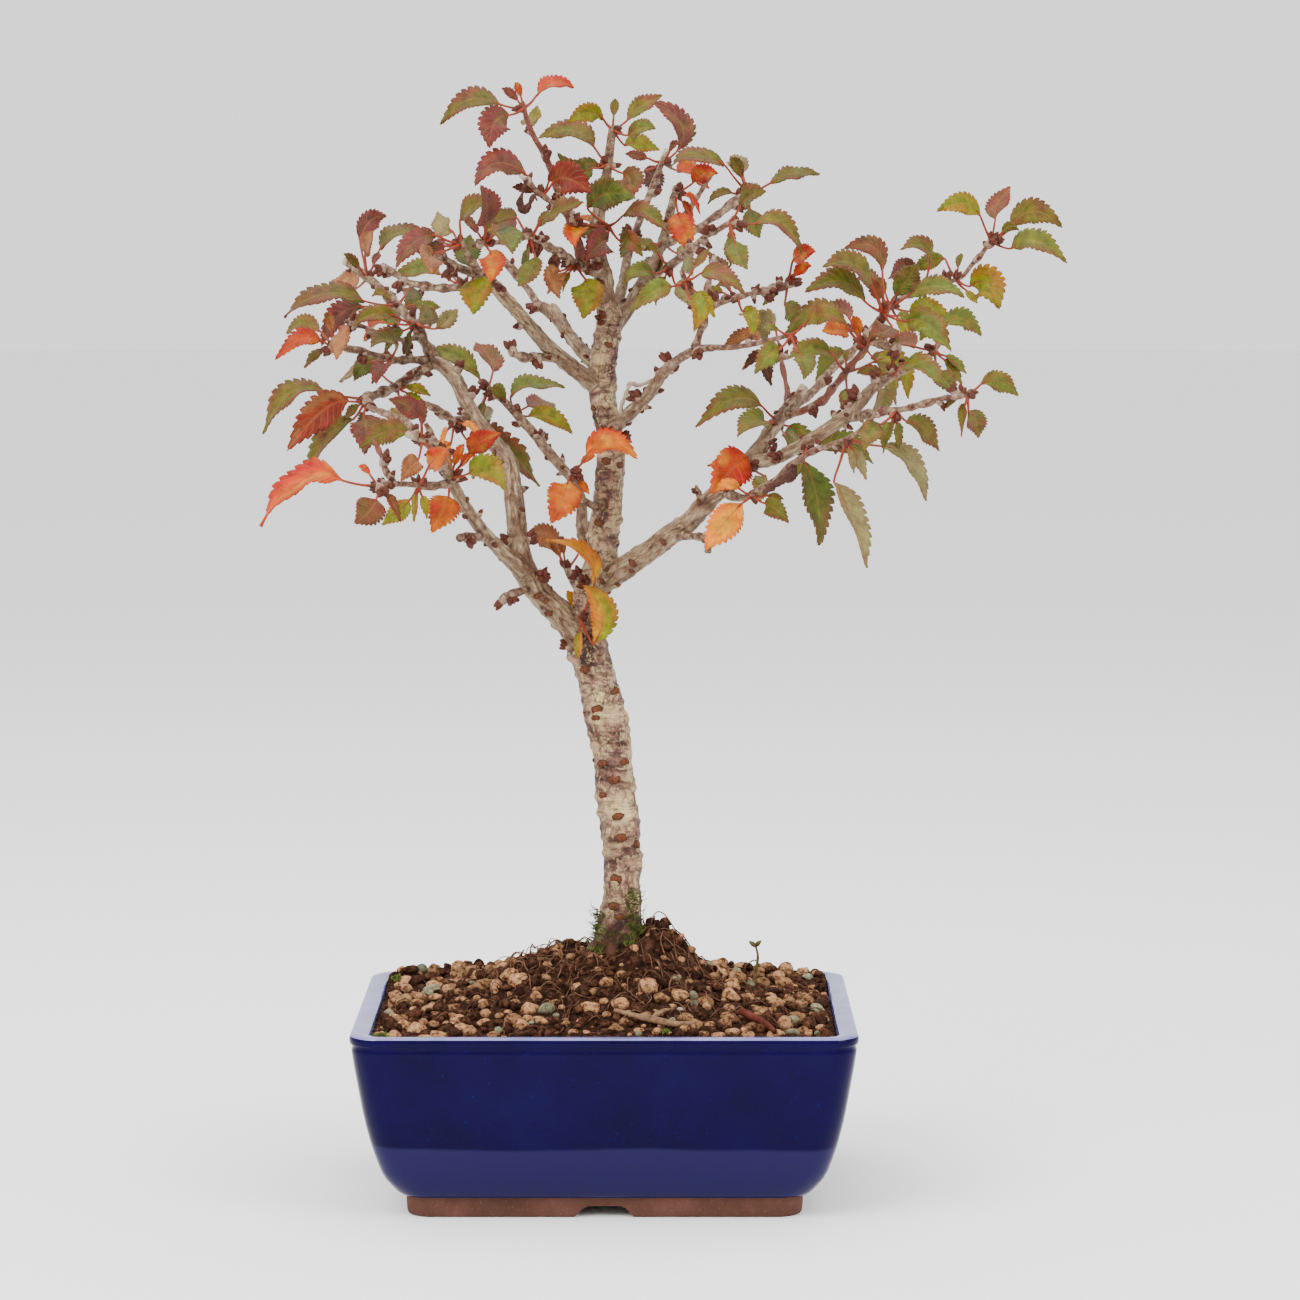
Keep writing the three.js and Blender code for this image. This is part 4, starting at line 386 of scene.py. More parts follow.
def smooth_path(points, radii, steps):
    """A rounder path through points, with its radii, by a curve between each pair of them."""
    path = []
    last = len(points) - 1
    for index in range(last):
        before = points[max(index - 1, 0)]
        start = points[index]
        end = points[index + 1]
        after = points[min(index + 2, last)]
        for step in range(steps):
            t = step / steps
            place = 0.5 * (
                2 * start
                + (end - before) * t
                + (2 * before - 5 * start + 4 * end - after) * t ** 2
                + (3 * start - before - 3 * end + after) * t ** 3
            )
            path.append((place, radii[index] + (radii[index + 1] - radii[index]) * t))
    path.append((points[last], radii[last]))
    return path


@contextlib.contextmanager
def small_part(bm):
    """A part that is shaped by itself and then joins the rest, which keeps each step quick."""
    part = bmesh.new()
    yield part
    carrier = bpy.data.meshes.new("carrier")
    part.to_mesh(carrier)
    part.free()
    bm.from_mesh(carrier)
    bpy.data.meshes.remove(carrier)


def sweep_tube(bm, path, sides, material_index=0):
    """Pulls a circle along a path of (place, radius) and closes both ends."""
    with small_part(bm) as tube:
        across = FIRST_ACROSS
        frames = []
        for index, (place, radius) in enumerate(path):
            before = path[max(index - 1, 0)][0]
            after = path[min(index + 1, len(path) - 1)][0]
            along = (after - before).normalized()
            across = square_to(across, along).normalized()
            turned = frame_of(place, across, along.cross(across), along)
            frames.append(turned @ Matrix.Diagonal((radius, radius, 1, 1)))
        ring = bmesh.ops.create_circle(tube, segments=sides, radius=1, matrix=frames[0])["verts"]
        edges = list({edge for vert in ring for edge in vert.link_edges})
        tube.faces.new(list(reversed(ring)))
        for previous, here in zip(frames, frames[1:]):
            ring, _, edges = next_ring(tube, edges)
            bmesh.ops.transform(tube, matrix=here @ previous.inverted(), verts=ring)
        bmesh.ops.holes_fill(tube, edges=edges, sides=0)
        use_material(tube, material_index)


def next_ring(bm, edges):
    """Extrudes a ring of edges and gives back the new ring's points, the new faces and its edges."""
    grown = bmesh.ops.extrude_edge_only(bm, edges=edges)["geom"]
    ring = [item for item in grown if isinstance(item, bmesh.types.BMVert)]
    faces = [item for item in grown if isinstance(item, bmesh.types.BMFace)]
    inside = set(ring)
    edges = [item for item in grown if isinstance(item, bmesh.types.BMEdge)
             and item.verts[0] in inside and item.verts[1] in inside]
    return ring, faces, edges


def use_material(bm, material_index):
    for face in bm.faces:
        face.material_index = material_index


def object_of(name, bm, materials=()):
    """An object in the scene, made from a bmesh that isn't needed after it."""
    mesh = bpy.data.meshes.new(name)
    bm.to_mesh(mesh)
    bm.free()
    for material in materials:
        mesh.materials.append(material)
    made = bpy.data.objects.new(name, mesh)
    bpy.context.collection.objects.link(made)
    return made


def shape_after(thing, *cutters):
    """The shape that an object has after its modifiers. It is removed, with what cut it."""
    bm = bmesh.new()
    bm.from_mesh(thing.evaluated_get(bpy.context.evaluated_depsgraph_get()).to_mesh())
    for used in (thing, *cutters):
        bpy.data.meshes.remove(used.data)
    return bm


def finished_piece(name, bm, materials, replaced=()):
    """Makes the named piece, with its finishes, riding on the body of the whole plant."""
    for face in bm.faces:
        face.smooth = True
    piece = object_of(name, bm, materials)
    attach(piece, "root")
    if replaced:
        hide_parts(*replaced)
    return piece


# Materials

def grey(value):
    return (value, value, value)


class Finish:
    """A material under way. Most methods add one node and give back what it puts out."""

    def __init__(self, name, roughness, specular):
        self.material = bpy.data.materials.new(name)
        self.material.use_nodes = True
        self.tree = self.material.node_tree
        self.shader = self.tree.nodes["Principled BSDF"]
        self.shader.inputs["Roughness"].default_value = roughness
        self.shader.inputs["Specular IOR Level"].default_value = specular

    def node(self, kind, output, inputs, **settings):
        """Adds a node with its settings, and links or sets each of its inputs."""
        node = self.tree.nodes.new("ShaderNode" + kind)
        for name, value in settings.items():
            setattr(node, name, value)
        for socket, value in inputs.items():
            if isinstance(value, bpy.types.NodeSocket):
                self.tree.links.new(value, node.inputs[socket])
            else:
                node.inputs[socket].default_value = value
        return node.outputs[output]

    def places(self, stretch=(1, 1, 1)):
        inputs = {"Vector": self.node("TexCoord", "Object", {}), "Scale": stretch}
        return self.node("Mapping", "Vector", inputs)

    def attribute(self, name, output):
        return self.node("Attribute", output, {}, attribute_name=name)

    def axis(self, name, vector):
        return self.node("SeparateXYZ", name, {"Vector": vector})

    def noise(self, vector, scale, detail=4, roughness=0.55, distortion=0):
        inputs = {"Vector": vector, "Scale": scale, "Detail": detail, "Roughness": roughness}
        return self.node("TexNoise", "Fac", {**inputs, "Distortion": distortion})

    def cell_edges(self, vector, scale):
        inputs = {"Vector": vector, "Scale": scale}
        return self.node("TexVoronoi", "Distance", inputs, feature="DISTANCE_TO_EDGE")

    def wandering(self, vector, scale, reach):
        """The vector, pushed about by a noise, so that a pattern on it loses its even shapes."""
        cloud = self.node("TexNoise", "Color", {"Vector": vector, "Scale": scale})
        inputs = {0: cloud, 1: grey(reach), 2: vector}
        return self.node("VectorMath", "Vector", inputs, operation="MULTIPLY_ADD")

    def ramp(self, value, stops):
        node = self.tree.nodes.new("ShaderNodeValToRGB")
        elements = node.color_ramp.elements
        while len(elements) < len(stops):
            elements.new(0.5)
        for element, (place, colour) in zip(elements, stops):
            element.position = place
            element.color = (*colour, 1)
        self.tree.links.new(value, node.inputs["Fac"])
        return node.outputs["Color"]

    def mask(self, value, low, high, most=1.0):
        """Rises from nothing at low to most at high."""
        return self.ramp(value, [(low, grey(0)), (high, grey(most))])

    def blend(self, factor, first, second, mode="MIX"):
        colours = [source if isinstance(source, bpy.types.NodeSocket) else (*source, 1)
                   for source in (first, second)]
        inputs = {0: factor, 6: colours[0], 7: colours[1]}
        return self.node("Mix", 2, inputs, data_type="RGBA", blend_type=mode)

    def math(self, operation, first, second=0.0):
        return self.node("Math", 0, {0: first, 1: second}, operation=operation)

    def paint(self, colour):
        self.tree.links.new(colour, self.shader.inputs["Base Color"])

    def bump(self, height, strength, distance):
        normal = self.node("Bump", "Normal", {"Height": height, "Strength": strength, "Distance": distance})
        self.tree.links.new(normal, self.shader.inputs["Normal"])


def glaze_finish():
    """Deep cobalt glaze, nearly black where it is thick, with fine specks, and a painted reflection of the
    floor as a paler band low on the wall.
    """
    finish = Finish("cobalt_glaze", 0.04, 0.065)
    places = finish.places()
    clouds = finish.noise(places, 28, 6, 0.6)
    tone = finish.ramp(clouds, [(0.3, (0.002, 0.0001, 0.018)), (0.7, (0.0026, 0.0001, 0.034))])
    # Painted reflection of the white floor: a paler band low on the wall, with a wobbly top edge.
    wobble = finish.math("MULTIPLY", finish.noise(places, 22, 2, 0.4), 0.004)
    height = finish.math("ADD", finish.axis("Z", places), wobble)
    below = finish.math("SUBTRACT", FLOOR_REFLECTION_TOP, height)
    low = finish.mask(finish.math("MULTIPLY", below, 700), 0, 1)
    tone = finish.blend(low, tone, (0.0125, 0.0095, 0.05))
    specks = finish.noise(places, 900, 2, 0.5)
    speck = finish.mask(specks, 0.69, 0.76, 0.8)
    finish.paint(finish.blend(speck, tone, (0.002, 0.004, 0.1)))
    ripple = finish.noise(places, 55, 2, 0.4)
    finish.bump(ripple, 0.04, 0.002)
    return finish.material


def rim_reflection_finish():
    """The rim and the pot's inside, painted a paler, milky blue violet as a painted reflection of the bright
    surroundings.
    """
    finish = Finish("rim_painted_reflection", 0.05, 0.5)
    places = finish.places()
    clouds = finish.noise(places, 60, 4, 0.6)
    # Painted reflection: a pale milky blue violet over the rim and inside, in place of the deep glaze
    # colour.
    finish.paint(finish.ramp(clouds, [(0.3, (0.09, 0.09, 0.26)), (0.75, (0.2, 0.2, 0.42))]))
    return finish.material


def clay_finish():
    """Bare fired clay of the foot, brown and fine grained."""
    finish = Finish("bare_clay", 0.7, 0.12)
    places = finish.places()
    clouds = finish.noise(places, 60, 5, 0.6)
    tone = finish.ramp(clouds, [(0.3, (0.055, 0.022, 0.014)), (0.7, (0.1, 0.042, 0.028))])
    grain = finish.noise(places, 1500, 3, 0.6)
    speck = finish.mask(grain, 0.62, 0.72)
    finish.paint(finish.blend(speck, tone, (0.17, 0.085, 0.06)))
    finish.bump(grain, 0.12, 0.0004)
    return finish.material


def soil_finish():
    finish = Finish("dark_compost", 1.0, 0.03)
    places = finish.places()
    crumbs = finish.noise(places, 260, 8, 0.7)
    tone = finish.ramp(crumbs, [(0.32, (0.006, 0.003, 0.002)), (0.52, (0.034, 0.015, 0.009)),
                                (0.72, (0.13, 0.06, 0.035))])
    finish.paint(tone)
    finish.bump(finish.noise(places, 700, 6, 0.75), 0.9, 0.0015)
    return finish.material


def grain_finish(name, dark, middle, light, pits=0.4):
    """Pitted mineral grains, each with a tone of its own from the attribute grain_tone."""
    finish = Finish(name, 0.9, 0.06)
    places = finish.places()
    pores = finish.noise(places, 520, 6, 0.7)
    tone = finish.ramp(pores, [(pits, dark), (pits + 0.1, middle), (0.72, light)])
    own = finish.attribute("grain_tone", "Color")
    finish.paint(finish.blend(1.0, tone, own, "MULTIPLY"))
    finish.bump(finish.noise(places, 900, 5, 0.7), 0.7, 0.0008)
    return finish.material


def plain_finish(name, dark, light, scale, roughness=0.8, bump=0.4):
    finish = Finish(name, roughness, 0.12)
    places = finish.places()
    clouds = finish.noise(places, scale, 5, 0.6)
    finish.paint(finish.ramp(clouds, [(0.3, dark), (0.7, light)]))
    finish.bump(finish.noise(places, scale * 3, 4, 0.6), bump, 0.0005)
    return finish.material


def bark_finish():
    """Cherry bark. bark_age runs from the shiny banded trunk at 0, by furrowed limbs at 0.5, to young
    brown twigs at 1."""
    finish = Finish("cherry_bark", 0.55, 0.25)
    age = finish.attribute("bark_age", "Fac")
    flow = finish.attribute("bark_flow", "Vector")
    places = finish.places()
    level = finish.places((1, 1, 5))
    patches = finish.noise(places, 75, 6, 0.65, 0.6)
    trunk = finish.ramp(patches, [(0.36, (0.045, 0.017, 0.014)), (0.45, (0.17, 0.085, 0.062)),
                                  (0.53, (0.35, 0.232, 0.14)), (0.63, (0.51, 0.39, 0.2))])
    bands = finish.noise(level, 95, 5, 0.7, 0.5)
    band = finish.ramp(bands, [(0.4, (0.28, 0.175, 0.165)), (0.49, grey(0.9)), (0.6, (1.42, 1.37, 1.28))])
    trunk = finish.blend(0.8, trunk, band, "MULTIPLY")
    flecks = finish.noise(places, 330, 4, 0.6, 1.0)
    fleck = finish.mask(flecks, 0.54, 0.61, 0.85)
    trunk = finish.blend(fleck, trunk, (0.46, 0.38, 0.19))
    long_places = finish.wandering(finish.places((1.0, 1.0, 0.5)), 260, 0.006)
    plates = finish.cell_edges(long_places, 290)
    crack = finish.ramp(plates, [(0.0, (0.3, 0.24, 0.2)), (0.09, grey(1))])
    chipped = finish.mask(finish.noise(places, 120, 3, 0.6), 0.45, 0.55)
    trunk = finish.blend(chipped, trunk, finish.blend(1.0, trunk, crack, "MULTIPLY"))
    zones = finish.noise(places, 30, 2, 0.5)
    zone = finish.ramp(zones, [(0.4, (0.72, 0.62, 0.6)), (0.6, (1.06, 1.05, 1.04))])
    trunk = finish.blend(1.0, trunk, zone, "MULTIPLY")
    streaks = finish.noise(flow, 620, 7, 0.72, 0.5)
    limb = finish.ramp(streaks, [(0.34, (0.035, 0.014, 0.008)), (0.44, (0.15, 0.08, 0.046)),
                                 (0.54, (0.26, 0.175, 0.1)), (0.65, (0.44, 0.34, 0.22))])
    weathered = finish.ramp(patches, [(0.38, (0.55, 0.42, 0.36)), (0.52, grey(1)), (0.64, (1.1, 1.16, 1.0))])
    limb = finish.blend(1.0, limb, weathered, "MULTIPLY")
    speckle = finish.noise(places, 420, 5, 0.65)
    twig = finish.ramp(speckle, [(0.36, (0.045, 0.014, 0.008)), (0.5, (0.16, 0.085, 0.05)),
                                 (0.64, (0.33, 0.235, 0.145))])
    wood = finish.blend(finish.mask(age, 0.1, 0.35), trunk, limb)
    wood = finish.blend(finish.mask(age, 0.6, 0.85), wood, twig)
    shoot = finish.attribute("shoot_red", "Fac")
    wood = finish.blend(shoot, wood, (0.15, 0.03, 0.018))
    foot = finish.attribute("bark_foot", "Fac")
    earthy = finish.ramp(patches, [(0.4, (0.02, 0.006, 0.004)), (0.5, (0.07, 0.02, 0.011)),
                                   (0.58, (0.05, 0.06, 0.014)), (0.68, (0.13, 0.07, 0.04))])
    wood = finish.blend(foot, wood, earthy)
    finish.paint(wood)
    height = finish.math("ADD", finish.math("MULTIPLY", streaks, 0.7), finish.math("MULTIPLY", bands, 0.8))
    height = finish.math("ADD", height, finish.math("MULTIPLY", speckle, 0.35))
    finish.bump(height, 0.9, 0.002)
    return finish.material


def leaf_finish():
    """Autumn leaf. Its colours are painted on the blade; the veins follow blade_place, where x runs
    across the blade and y runs from its foot to its tip."""
    finish = Finish("autumn_leaf", 0.42, 0.12)
    colour = finish.attribute("leaf_colour", "Color")
    blade = finish.attribute("blade_place", "Vector")
    out = finish.math("ABSOLUTE", finish.math("SUBTRACT", finish.axis("X", blade), 0.5))
    out = finish.math("MULTIPLY", out, 2.0)
    along = finish.math("MULTIPLY", finish.axis("Y", blade), 9.0)
    slant = finish.math("SUBTRACT", along, finish.math("MULTIPLY", out, 1.9))
    vein = finish.math("ABSOLUTE", finish.math("SUBTRACT", finish.math("FRACT", slant), 0.5))
    side = finish.ramp(vein, [(0.0, grey(1)), (0.1, grey(0.25)), (0.2, grey(0))])
    rib = finish.ramp(out, [(0.0, grey(1)), (0.07, grey(0.7)), (0.13, grey(0))])
    veins = finish.blend(1.0, side, rib, "LIGHTEN")
    places = finish.places()
    net = finish.cell_edges(places, 900)
    mottle = finish.noise(places, 240, 5, 0.65)
    shade = finish.ramp(mottle, [(0.3, (0.6, 0.55, 0.55)), (0.5, grey(0.97)), (0.7, (1.25, 1.3, 1.15))])
    colour = finish.blend(1.0, colour, shade, "MULTIPLY")
    spots = finish.noise(places, 420, 3, 0.6)
    spot = finish.mask(spots, 0.67, 0.73, 0.75)
    colour = finish.blend(spot, colour, (0.09, 0.035, 0.02))
    pale = finish.blend(0.3, colour, (0.4, 0.24, 0.06))
    finish.paint(finish.blend(finish.math("MULTIPLY", veins, 0.34), colour, pale))
    height = finish.math("SUBTRACT", finish.math("MULTIPLY", net, 0.5), finish.math("MULTIPLY", veins, 1.0))
    finish.bump(height, 0.5, 0.0005)
    return finish.material


# Leaves

# Half the width of a blade along its length, as a share of its greatest half width.
BLADE_OUTLINE = [[0, 0.04], [0.05, 0.25], [0.15, 0.62], [0.3, 0.92], [0.45, 1], [0.6, 0.93],
                 [0.72, 0.74], [0.82, 0.48], [0.9, 0.26], [0.96, 0.11], [1, 0.01]]
BLADE_ACROSS = (-1, -0.76, -0.5, -0.24, 0, 0.24, 0.5, 0.76, 1)
GROWN_TEETH = 11
YOUNG_TEETH = 6
# Drawn at each seat, on top of the leaves in the table.
YOUNG_LEAVES = 2
SPRAY_BUDS = 5
# A blade shorter than this, in metres, has the few teeth of a young leaf.
GROWN_LENGTH = 0.0135
BLADE_SLIMNESS = 0.42
BLADE_THICKNESS = 0.00028
UNDERSIDE_TONE = Vector((0.34, 0.25, 0.1))
LEAF_DEPTH = 0.5
LEAF_VIVID = 1.45
BLADE_FOLD = 0.3
FOOT_LEAN = 0.35
MIDDLE_LEAN = 0.7

# Leaf colours: the middle of the blade, its edge, and a second colour in patches.
LEAF_COLOURS = {
    "green": ((0.135, 0.158, 0.047), (0.2, 0.1, 0.052), (0.19, 0.18, 0.052)),
    "deep": ((0.09, 0.115, 0.036), (0.15, 0.08, 0.045), (0.14, 0.15, 0.045)),
    "olive": ((0.155, 0.125, 0.042), (0.19, 0.065, 0.05), (0.12, 0.13, 0.038)),
    "plum": ((0.15, 0.062, 0.052), (0.2, 0.05, 0.05), (0.15, 0.1, 0.05)),
    "crimson": ((0.235, 0.056, 0.042), (0.17, 0.032, 0.032), (0.26, 0.13, 0.07)),
    "coral": ((0.55, 0.12, 0.034), (0.38, 0.05, 0.024), (0.6, 0.26, 0.05)),
    "orange": ((0.66, 0.2, 0.0), (0.48, 0.075, 0.0), (0.74, 0.34, 0.0)),
    "yellow": ((1.0, 0.37, 0.0), (0.88, 0.27, 0.0), (0.82, 0.43, 0.0)),
    "peach": ((0.6, 0.28, 0.11), (0.54, 0.18, 0.085), (0.64, 0.36, 0.08)),
    "lime": ((0.26, 0.26, 0.055), (0.38, 0.17, 0.05), (0.21, 0.24, 0.052)),
    "pale": ((0.3, 0.26, 0.14), (0.25, 0.15, 0.09), (0.25, 0.25, 0.12)),
    "tan": ((0.36, 0.17, 0.1), (0.24, 0.08, 0.05), (0.4, 0.23, 0.13)),
    "bronze": ((0.19, 0.085, 0.05), (0.22, 0.055, 0.045), (0.14, 0.1, 0.045)),
    "dry": ((0.075, 0.024, 0.015), (0.05, 0.016, 0.012), (0.1, 0.04, 0.024)),
}
# A leaf that turns on one side first: the colours of its two sides.
TURNING = {"half_lime": ("peach", "lime")}


def blade_rows(teeth, draw):
    """Rows along a blade as (how far along, share of the half width, forward reach of the edge)."""
    rows = []
    for tooth in range(teeth):
        start = 0.07 + 0.9 * (tooth / teeth) ** 0.94
        end = 0.07 + 0.9 * ((tooth + 1) / teeth) ** 0.94
        size = draw.uniform(0.75, 1.2)
        for share, cut, reach in ((0, 0.17, 0.1), (0.3, 0.02, 0.1), (0.5, -0.02, 0.15), (0.75, -0.07, 0.3)):
            along = start + (end - start) * share
            rows.append((along, read_table(BLADE_OUTLINE, along) * (1 - cut * size), reach * (end - start)))
    rows = [(0, 0.05, 0), (0.03, read_table(BLADE_OUTLINE, 0.03), 0)] + rows
    rows.append((0.975, read_table(BLADE_OUTLINE, 0.975), 0))
    rows.append((1, 0.012, 0))
    return rows


def leaf_tone(colours, along, out, draw_place):
    """The colour at a place of a blade, from patches of its three colours."""
    middle, edge, patch = (Vector(colour) for colour in colours)
    cloud = noise.noise(draw_place + Vector((out * 1.1, along * 2.6, 0)))
    fine = noise.noise(draw_place * 3 + Vector((out * 4, along * 9, 1)))
    reddened = smooth_step(0.3, 1.0, abs(out) * 0.7 + along * 0.3 + cloud * 0.85 + fine * 0.25)
    patched = smooth_step(0.0, 0.35, noise.noise(draw_place * 5 + Vector((out * 1.4, along * 3.4, 4))))
    tone = middle.lerp(patch, patched * 0.8).lerp(edge, reddened * 0.85) * LEAF_DEPTH
    grey_part = (tone.x + tone.y + tone.z) / 3
    tone = Vector((grey_part, grey_part, grey_part)).lerp(tone, LEAF_VIVID)
    return tone * (1 + 0.35 * fine)


def add_leaf(bm, seat_place, row, draw):
    """One leaf: a toothed, folded and gently waved blade, its rib and its thin stalk."""
    foot_x, foot_z, middle_x, middle_z, tip_x, tip_z, seen_width, lean, colour = row
    seat_depth = seat_place[1]
    foot = seen(foot_x, seat_depth + lean * FOOT_LEAN, foot_z)
    middle = seen(middle_x, seat_depth + lean * MIDDLE_LEAN, middle_z)
    tip = seen(tip_x, seat_depth + lean, tip_z)
    seat = seen(*seat_place)
    bend = middle * 2 - (foot + tip) / 2
    length = (middle - foot).length + (tip - middle).length
    half = max(seen_width * MM, length * BLADE_SLIMNESS) / 2
    turn = math.acos(min(seen_width * MM / (half * 2), 1))
    swing = turn if tip.x < foot.x else -turn
    fold = BLADE_FOLD * draw.uniform(0.7, 1.5)
    wave = half * draw.uniform(0.05, 0.14)
    waves = draw.uniform(1.2, 2.6)
    phase = draw.uniform(0, math.tau)
    twist = draw.uniform(-0.3, 0.3)
    tone_place = drawn_vector(draw, 50)
    brightness = draw.uniform(0.82, 1.15)

    def at(along):
        rest = 1 - along
        return foot * rest * rest + bend * 2 * along * rest + tip * along * along

    def frame_at(along):
        axis = ((bend - foot) * (1 - along) + (tip - bend) * along).normalized()
        flat = axis.cross(FRONT).normalized()
        face = flat.cross(axis).normalized()
        face.rotate(Matrix.Rotation(swing + twist * (along - 0.4), 3, axis))
        return axis, face, axis.cross(face)

    def blade_of(part):
        """The toothed blade, with its colours and its own places, painted a little paler below."""
        colour_layer = part.verts.layers.float_color.new("leaf_colour")
        blade_layer = part.verts.layers.float_vector.new("blade_place")
        rows = blade_rows(GROWN_TEETH if length > GROWN_LENGTH else YOUNG_TEETH, draw)
        sides = TURNING.get(colour, (colour, colour))
        across_last = len(BLADE_ACROSS) - 1
        row_last = len(rows) - 1
        top = bmesh.ops.create_grid(part, x_segments=across_last, y_segments=row_last, size=0.5)["verts"]
        for vert in top:
            out = BLADE_ACROSS[round((vert.co.x + 0.5) * across_last)]
            along, width, reach = rows[round((vert.co.y + 0.5) * row_last)]
            edge = smooth_step(0.76, 1, abs(out))
            place_along = min(along + reach * edge, 1)
            _, face, sideways = frame_at(place_along)
            inner = width + (read_table(BLADE_OUTLINE, along) - width) * (1 - edge)
            reach_out = out * inner * half
            lift = abs(reach_out) * fold - out * out * half * 0.1
            swell = math.sin(place_along * waves * math.tau + phase + (out > 0) * 1.7)
            lift += wave * abs(out) ** 1.5 * swell
            vert.co = at(place_along) + sideways * reach_out + face * lift
            tone = leaf_tone(LEAF_COLOURS[sides[0]], along, out, tone_place)
            if sides[1] != sides[0]:
                other = leaf_tone(LEAF_COLOURS[sides[1]], along, out, tone_place)
                tone = tone.lerp(other, smooth_step(-0.15, 0.25, out))
            tone *= brightness
            vert[colour_layer] = (*[max(channel, 0.003) for channel in tone], 1)
            vert[blade_layer] = (0.5 + out / 2, along, 0)
        above = set(top)
        part.normal_update()
        bmesh.ops.solidify(part, geom=list(part.faces), thickness=BLADE_THICKNESS)
        for vert in part.verts:
            if vert not in above:
                vert[colour_layer] = (*Vector(vert[colour_layer][:3]).lerp(UNDERSIDE_TONE, 0.28), 1)

    with small_part(bm) as part:
        blade_of(part)
    stalk = smooth_path([seat, seat.lerp(foot, 0.5) + Vector((0, 0, -0.0006)), foot, at(0.12)],
                        [0.00085, 0.00052, 0.00046, 0.00034], 3)
    sweep_tube(bm, stalk, 6, 1)
    rib = [(at(share) - frame_at(share)[1] * 0.00016, 0.00036 - 0.00026 * share) for share in
           (0.05, 0.15, 0.3, 0.45, 0.6, 0.75, 0.9)]
    sweep_tube(bm, rib, 5, 1)


def add_bud(bm, place, way, length, thick, material_index=0):
    """A pointed bud: a ball drawn out along its way, with its length and thickness in millimetres."""
    length *= MM
    thick *= MM
    spot = facing(place + way * length * 0.35, way)
    with small_part(bm) as bud:
        bmesh.ops.create_uvsphere(bud, u_segments=8, v_segments=6, radius=1)
        for vert in bud.verts:
            narrow = 1 - 0.4 * smooth_step(0, 1.2, vert.co.z)
            across = thick * narrow
            vert.co = spot @ Vector((vert.co.x * across, vert.co.y * across, vert.co.z * length * 0.5))
        use_material(bud, material_index)


def young_leaves(seat_place, leaves, draw):
    """Small leaves close to the seat, between the grown ones and coloured like them."""
    rows = []
    seat_x, _, seat_z = seat_place
    for _ in range(YOUNG_LEAVES):
        kin = draw.choice(leaves)
        turn = math.atan2(kin[1] - seat_z, kin[0] - seat_x) + draw.uniform(-1.3, 1.3)
        out = draw.uniform(3, 6)
        size = draw.uniform(7, 12)
        droop = draw.uniform(0, 4)
        foot = (seat_x + math.cos(turn) * out, seat_z + math.sin(turn) * out)
        middle = (foot[0] + math.cos(turn) * size / 2, foot[1] + math.sin(turn) * size / 2 + droop * 0.2)
        tip = (foot[0] + math.cos(turn) * size, foot[1] + math.sin(turn) * size - droop)
        rows.append([*foot, *middle, *tip, size * draw.uniform(0.3, 0.5), draw.uniform(-7, 7), kin[8]])
    return rows


def build_sprays(finishes):
    """The leaves of every twig end, each spray round its own seat."""
    for index, (name, (seat_place, *leaves)) in enumerate(SPRAYS.items()):
        draw = random.Random(SEED * 100 + index)
        bm = bmesh.new()
        for row in leaves:
            add_leaf(bm, seat_place, row, draw)
        for row in young_leaves(seat_place, leaves, draw):
            add_leaf(bm, seat_place, row, draw)
        seat = seen(*seat_place)
        lean_to = sum((seen(row[0], seat_place[1], row[1]) for row in leaves), Vector())
        lean_to = (lean_to / len(leaves) - seat).normalized()
        for _ in range(SPRAY_BUDS):
            way = (lean_to + drawn_vector(draw, 0.8)).normalized()
            start = seat + way * draw.uniform(0, 0.0012)
            add_bud(bm, start, way, draw.uniform(3.4, 5.2), draw.uniform(1.0, 1.5), 2)
        finished_piece("leaves_" + name, bm, finishes, replaced=["spray_" + name])


# Wood

# A stem that starts at least this thick, in millimetres, is part of the one skin of the limbs.
STOUT_STEM = 2.5
# One that starts thicker than this has more sides.
THICK_STEM = 5
SKIN_FINENESS = 0.00085
# Furrows are this much shorter in flow places than along the stem.
FURROW_DRAW = 0.24
RED_SHOOTS = ("right_red_shoot", "crown_left_stub", "left_low_riser", "right_upright")


def stem_path(rows, steps):
    points = [seen(*row[:3]) for row in rows]
    return smooth_path(points, [row[3] * MM for row in rows], steps)


class Wood:
    """Where every stem runs, to find the nearest wood to any place."""

    def __init__(self):
        samples = []
        for name, rows in STEMS.items():
            travelled = 0
            across = FIRST_ACROSS
            path = stem_path(rows, 6)
            for (start, radius), (end, _) in zip(path, path[1:]):
                step = end - start
                way = step.normalized()
                across = square_to(across, way).normalized()
                samples.append((start, radius, way, travelled, name, across))
                travelled += step.length
        self.samples = samples
        self.tree = kdtree.KDTree(len(samples))
        for index, sample in enumerate(samples):
            self.tree.insert(sample[0], index)
        self.tree.balance()

    def nearest(self, place):
        """The stem sample whose surface is nearest to a place."""
        found = self.tree.find_n(place, 5)
        best = min(found, key=lambda hit: hit[2] - self.samples[hit[1]][1])
        return self.samples[best[1]]

    def behind(self, x, z):
        """The wood that the eye sees at x and z: its place, radius and way, then where the eye's
        line passes it, and that line's direction."""
        start = seen(x, -60, z)
        sight = (seen(x, 60, z) - start).normalized()
        best = None
        for sample in self.samples:
            offset = sample[0] - start
            miss = square_to(offset, sight).length - sample[1]
            score = max(miss, 0) + offset.dot(sight) * 0.02
            if best is None or score < best[0]:
                best = (score, sample, start + sight * offset.dot(sight))
        return *best[1][:3], best[2], sight


def flow_of(place, sample):
    """A place on the wood, drawn together along the stem, so that noise there makes long furrows."""
    start, _, way, travelled, name, across = sample
    offset = place - start
    apart = len(name) * 0.013
    return Vector((offset.dot(across) + apart, offset.dot(way.cross(across)),
                   (travelled + offset.dot(way)) * FURROW_DRAW))


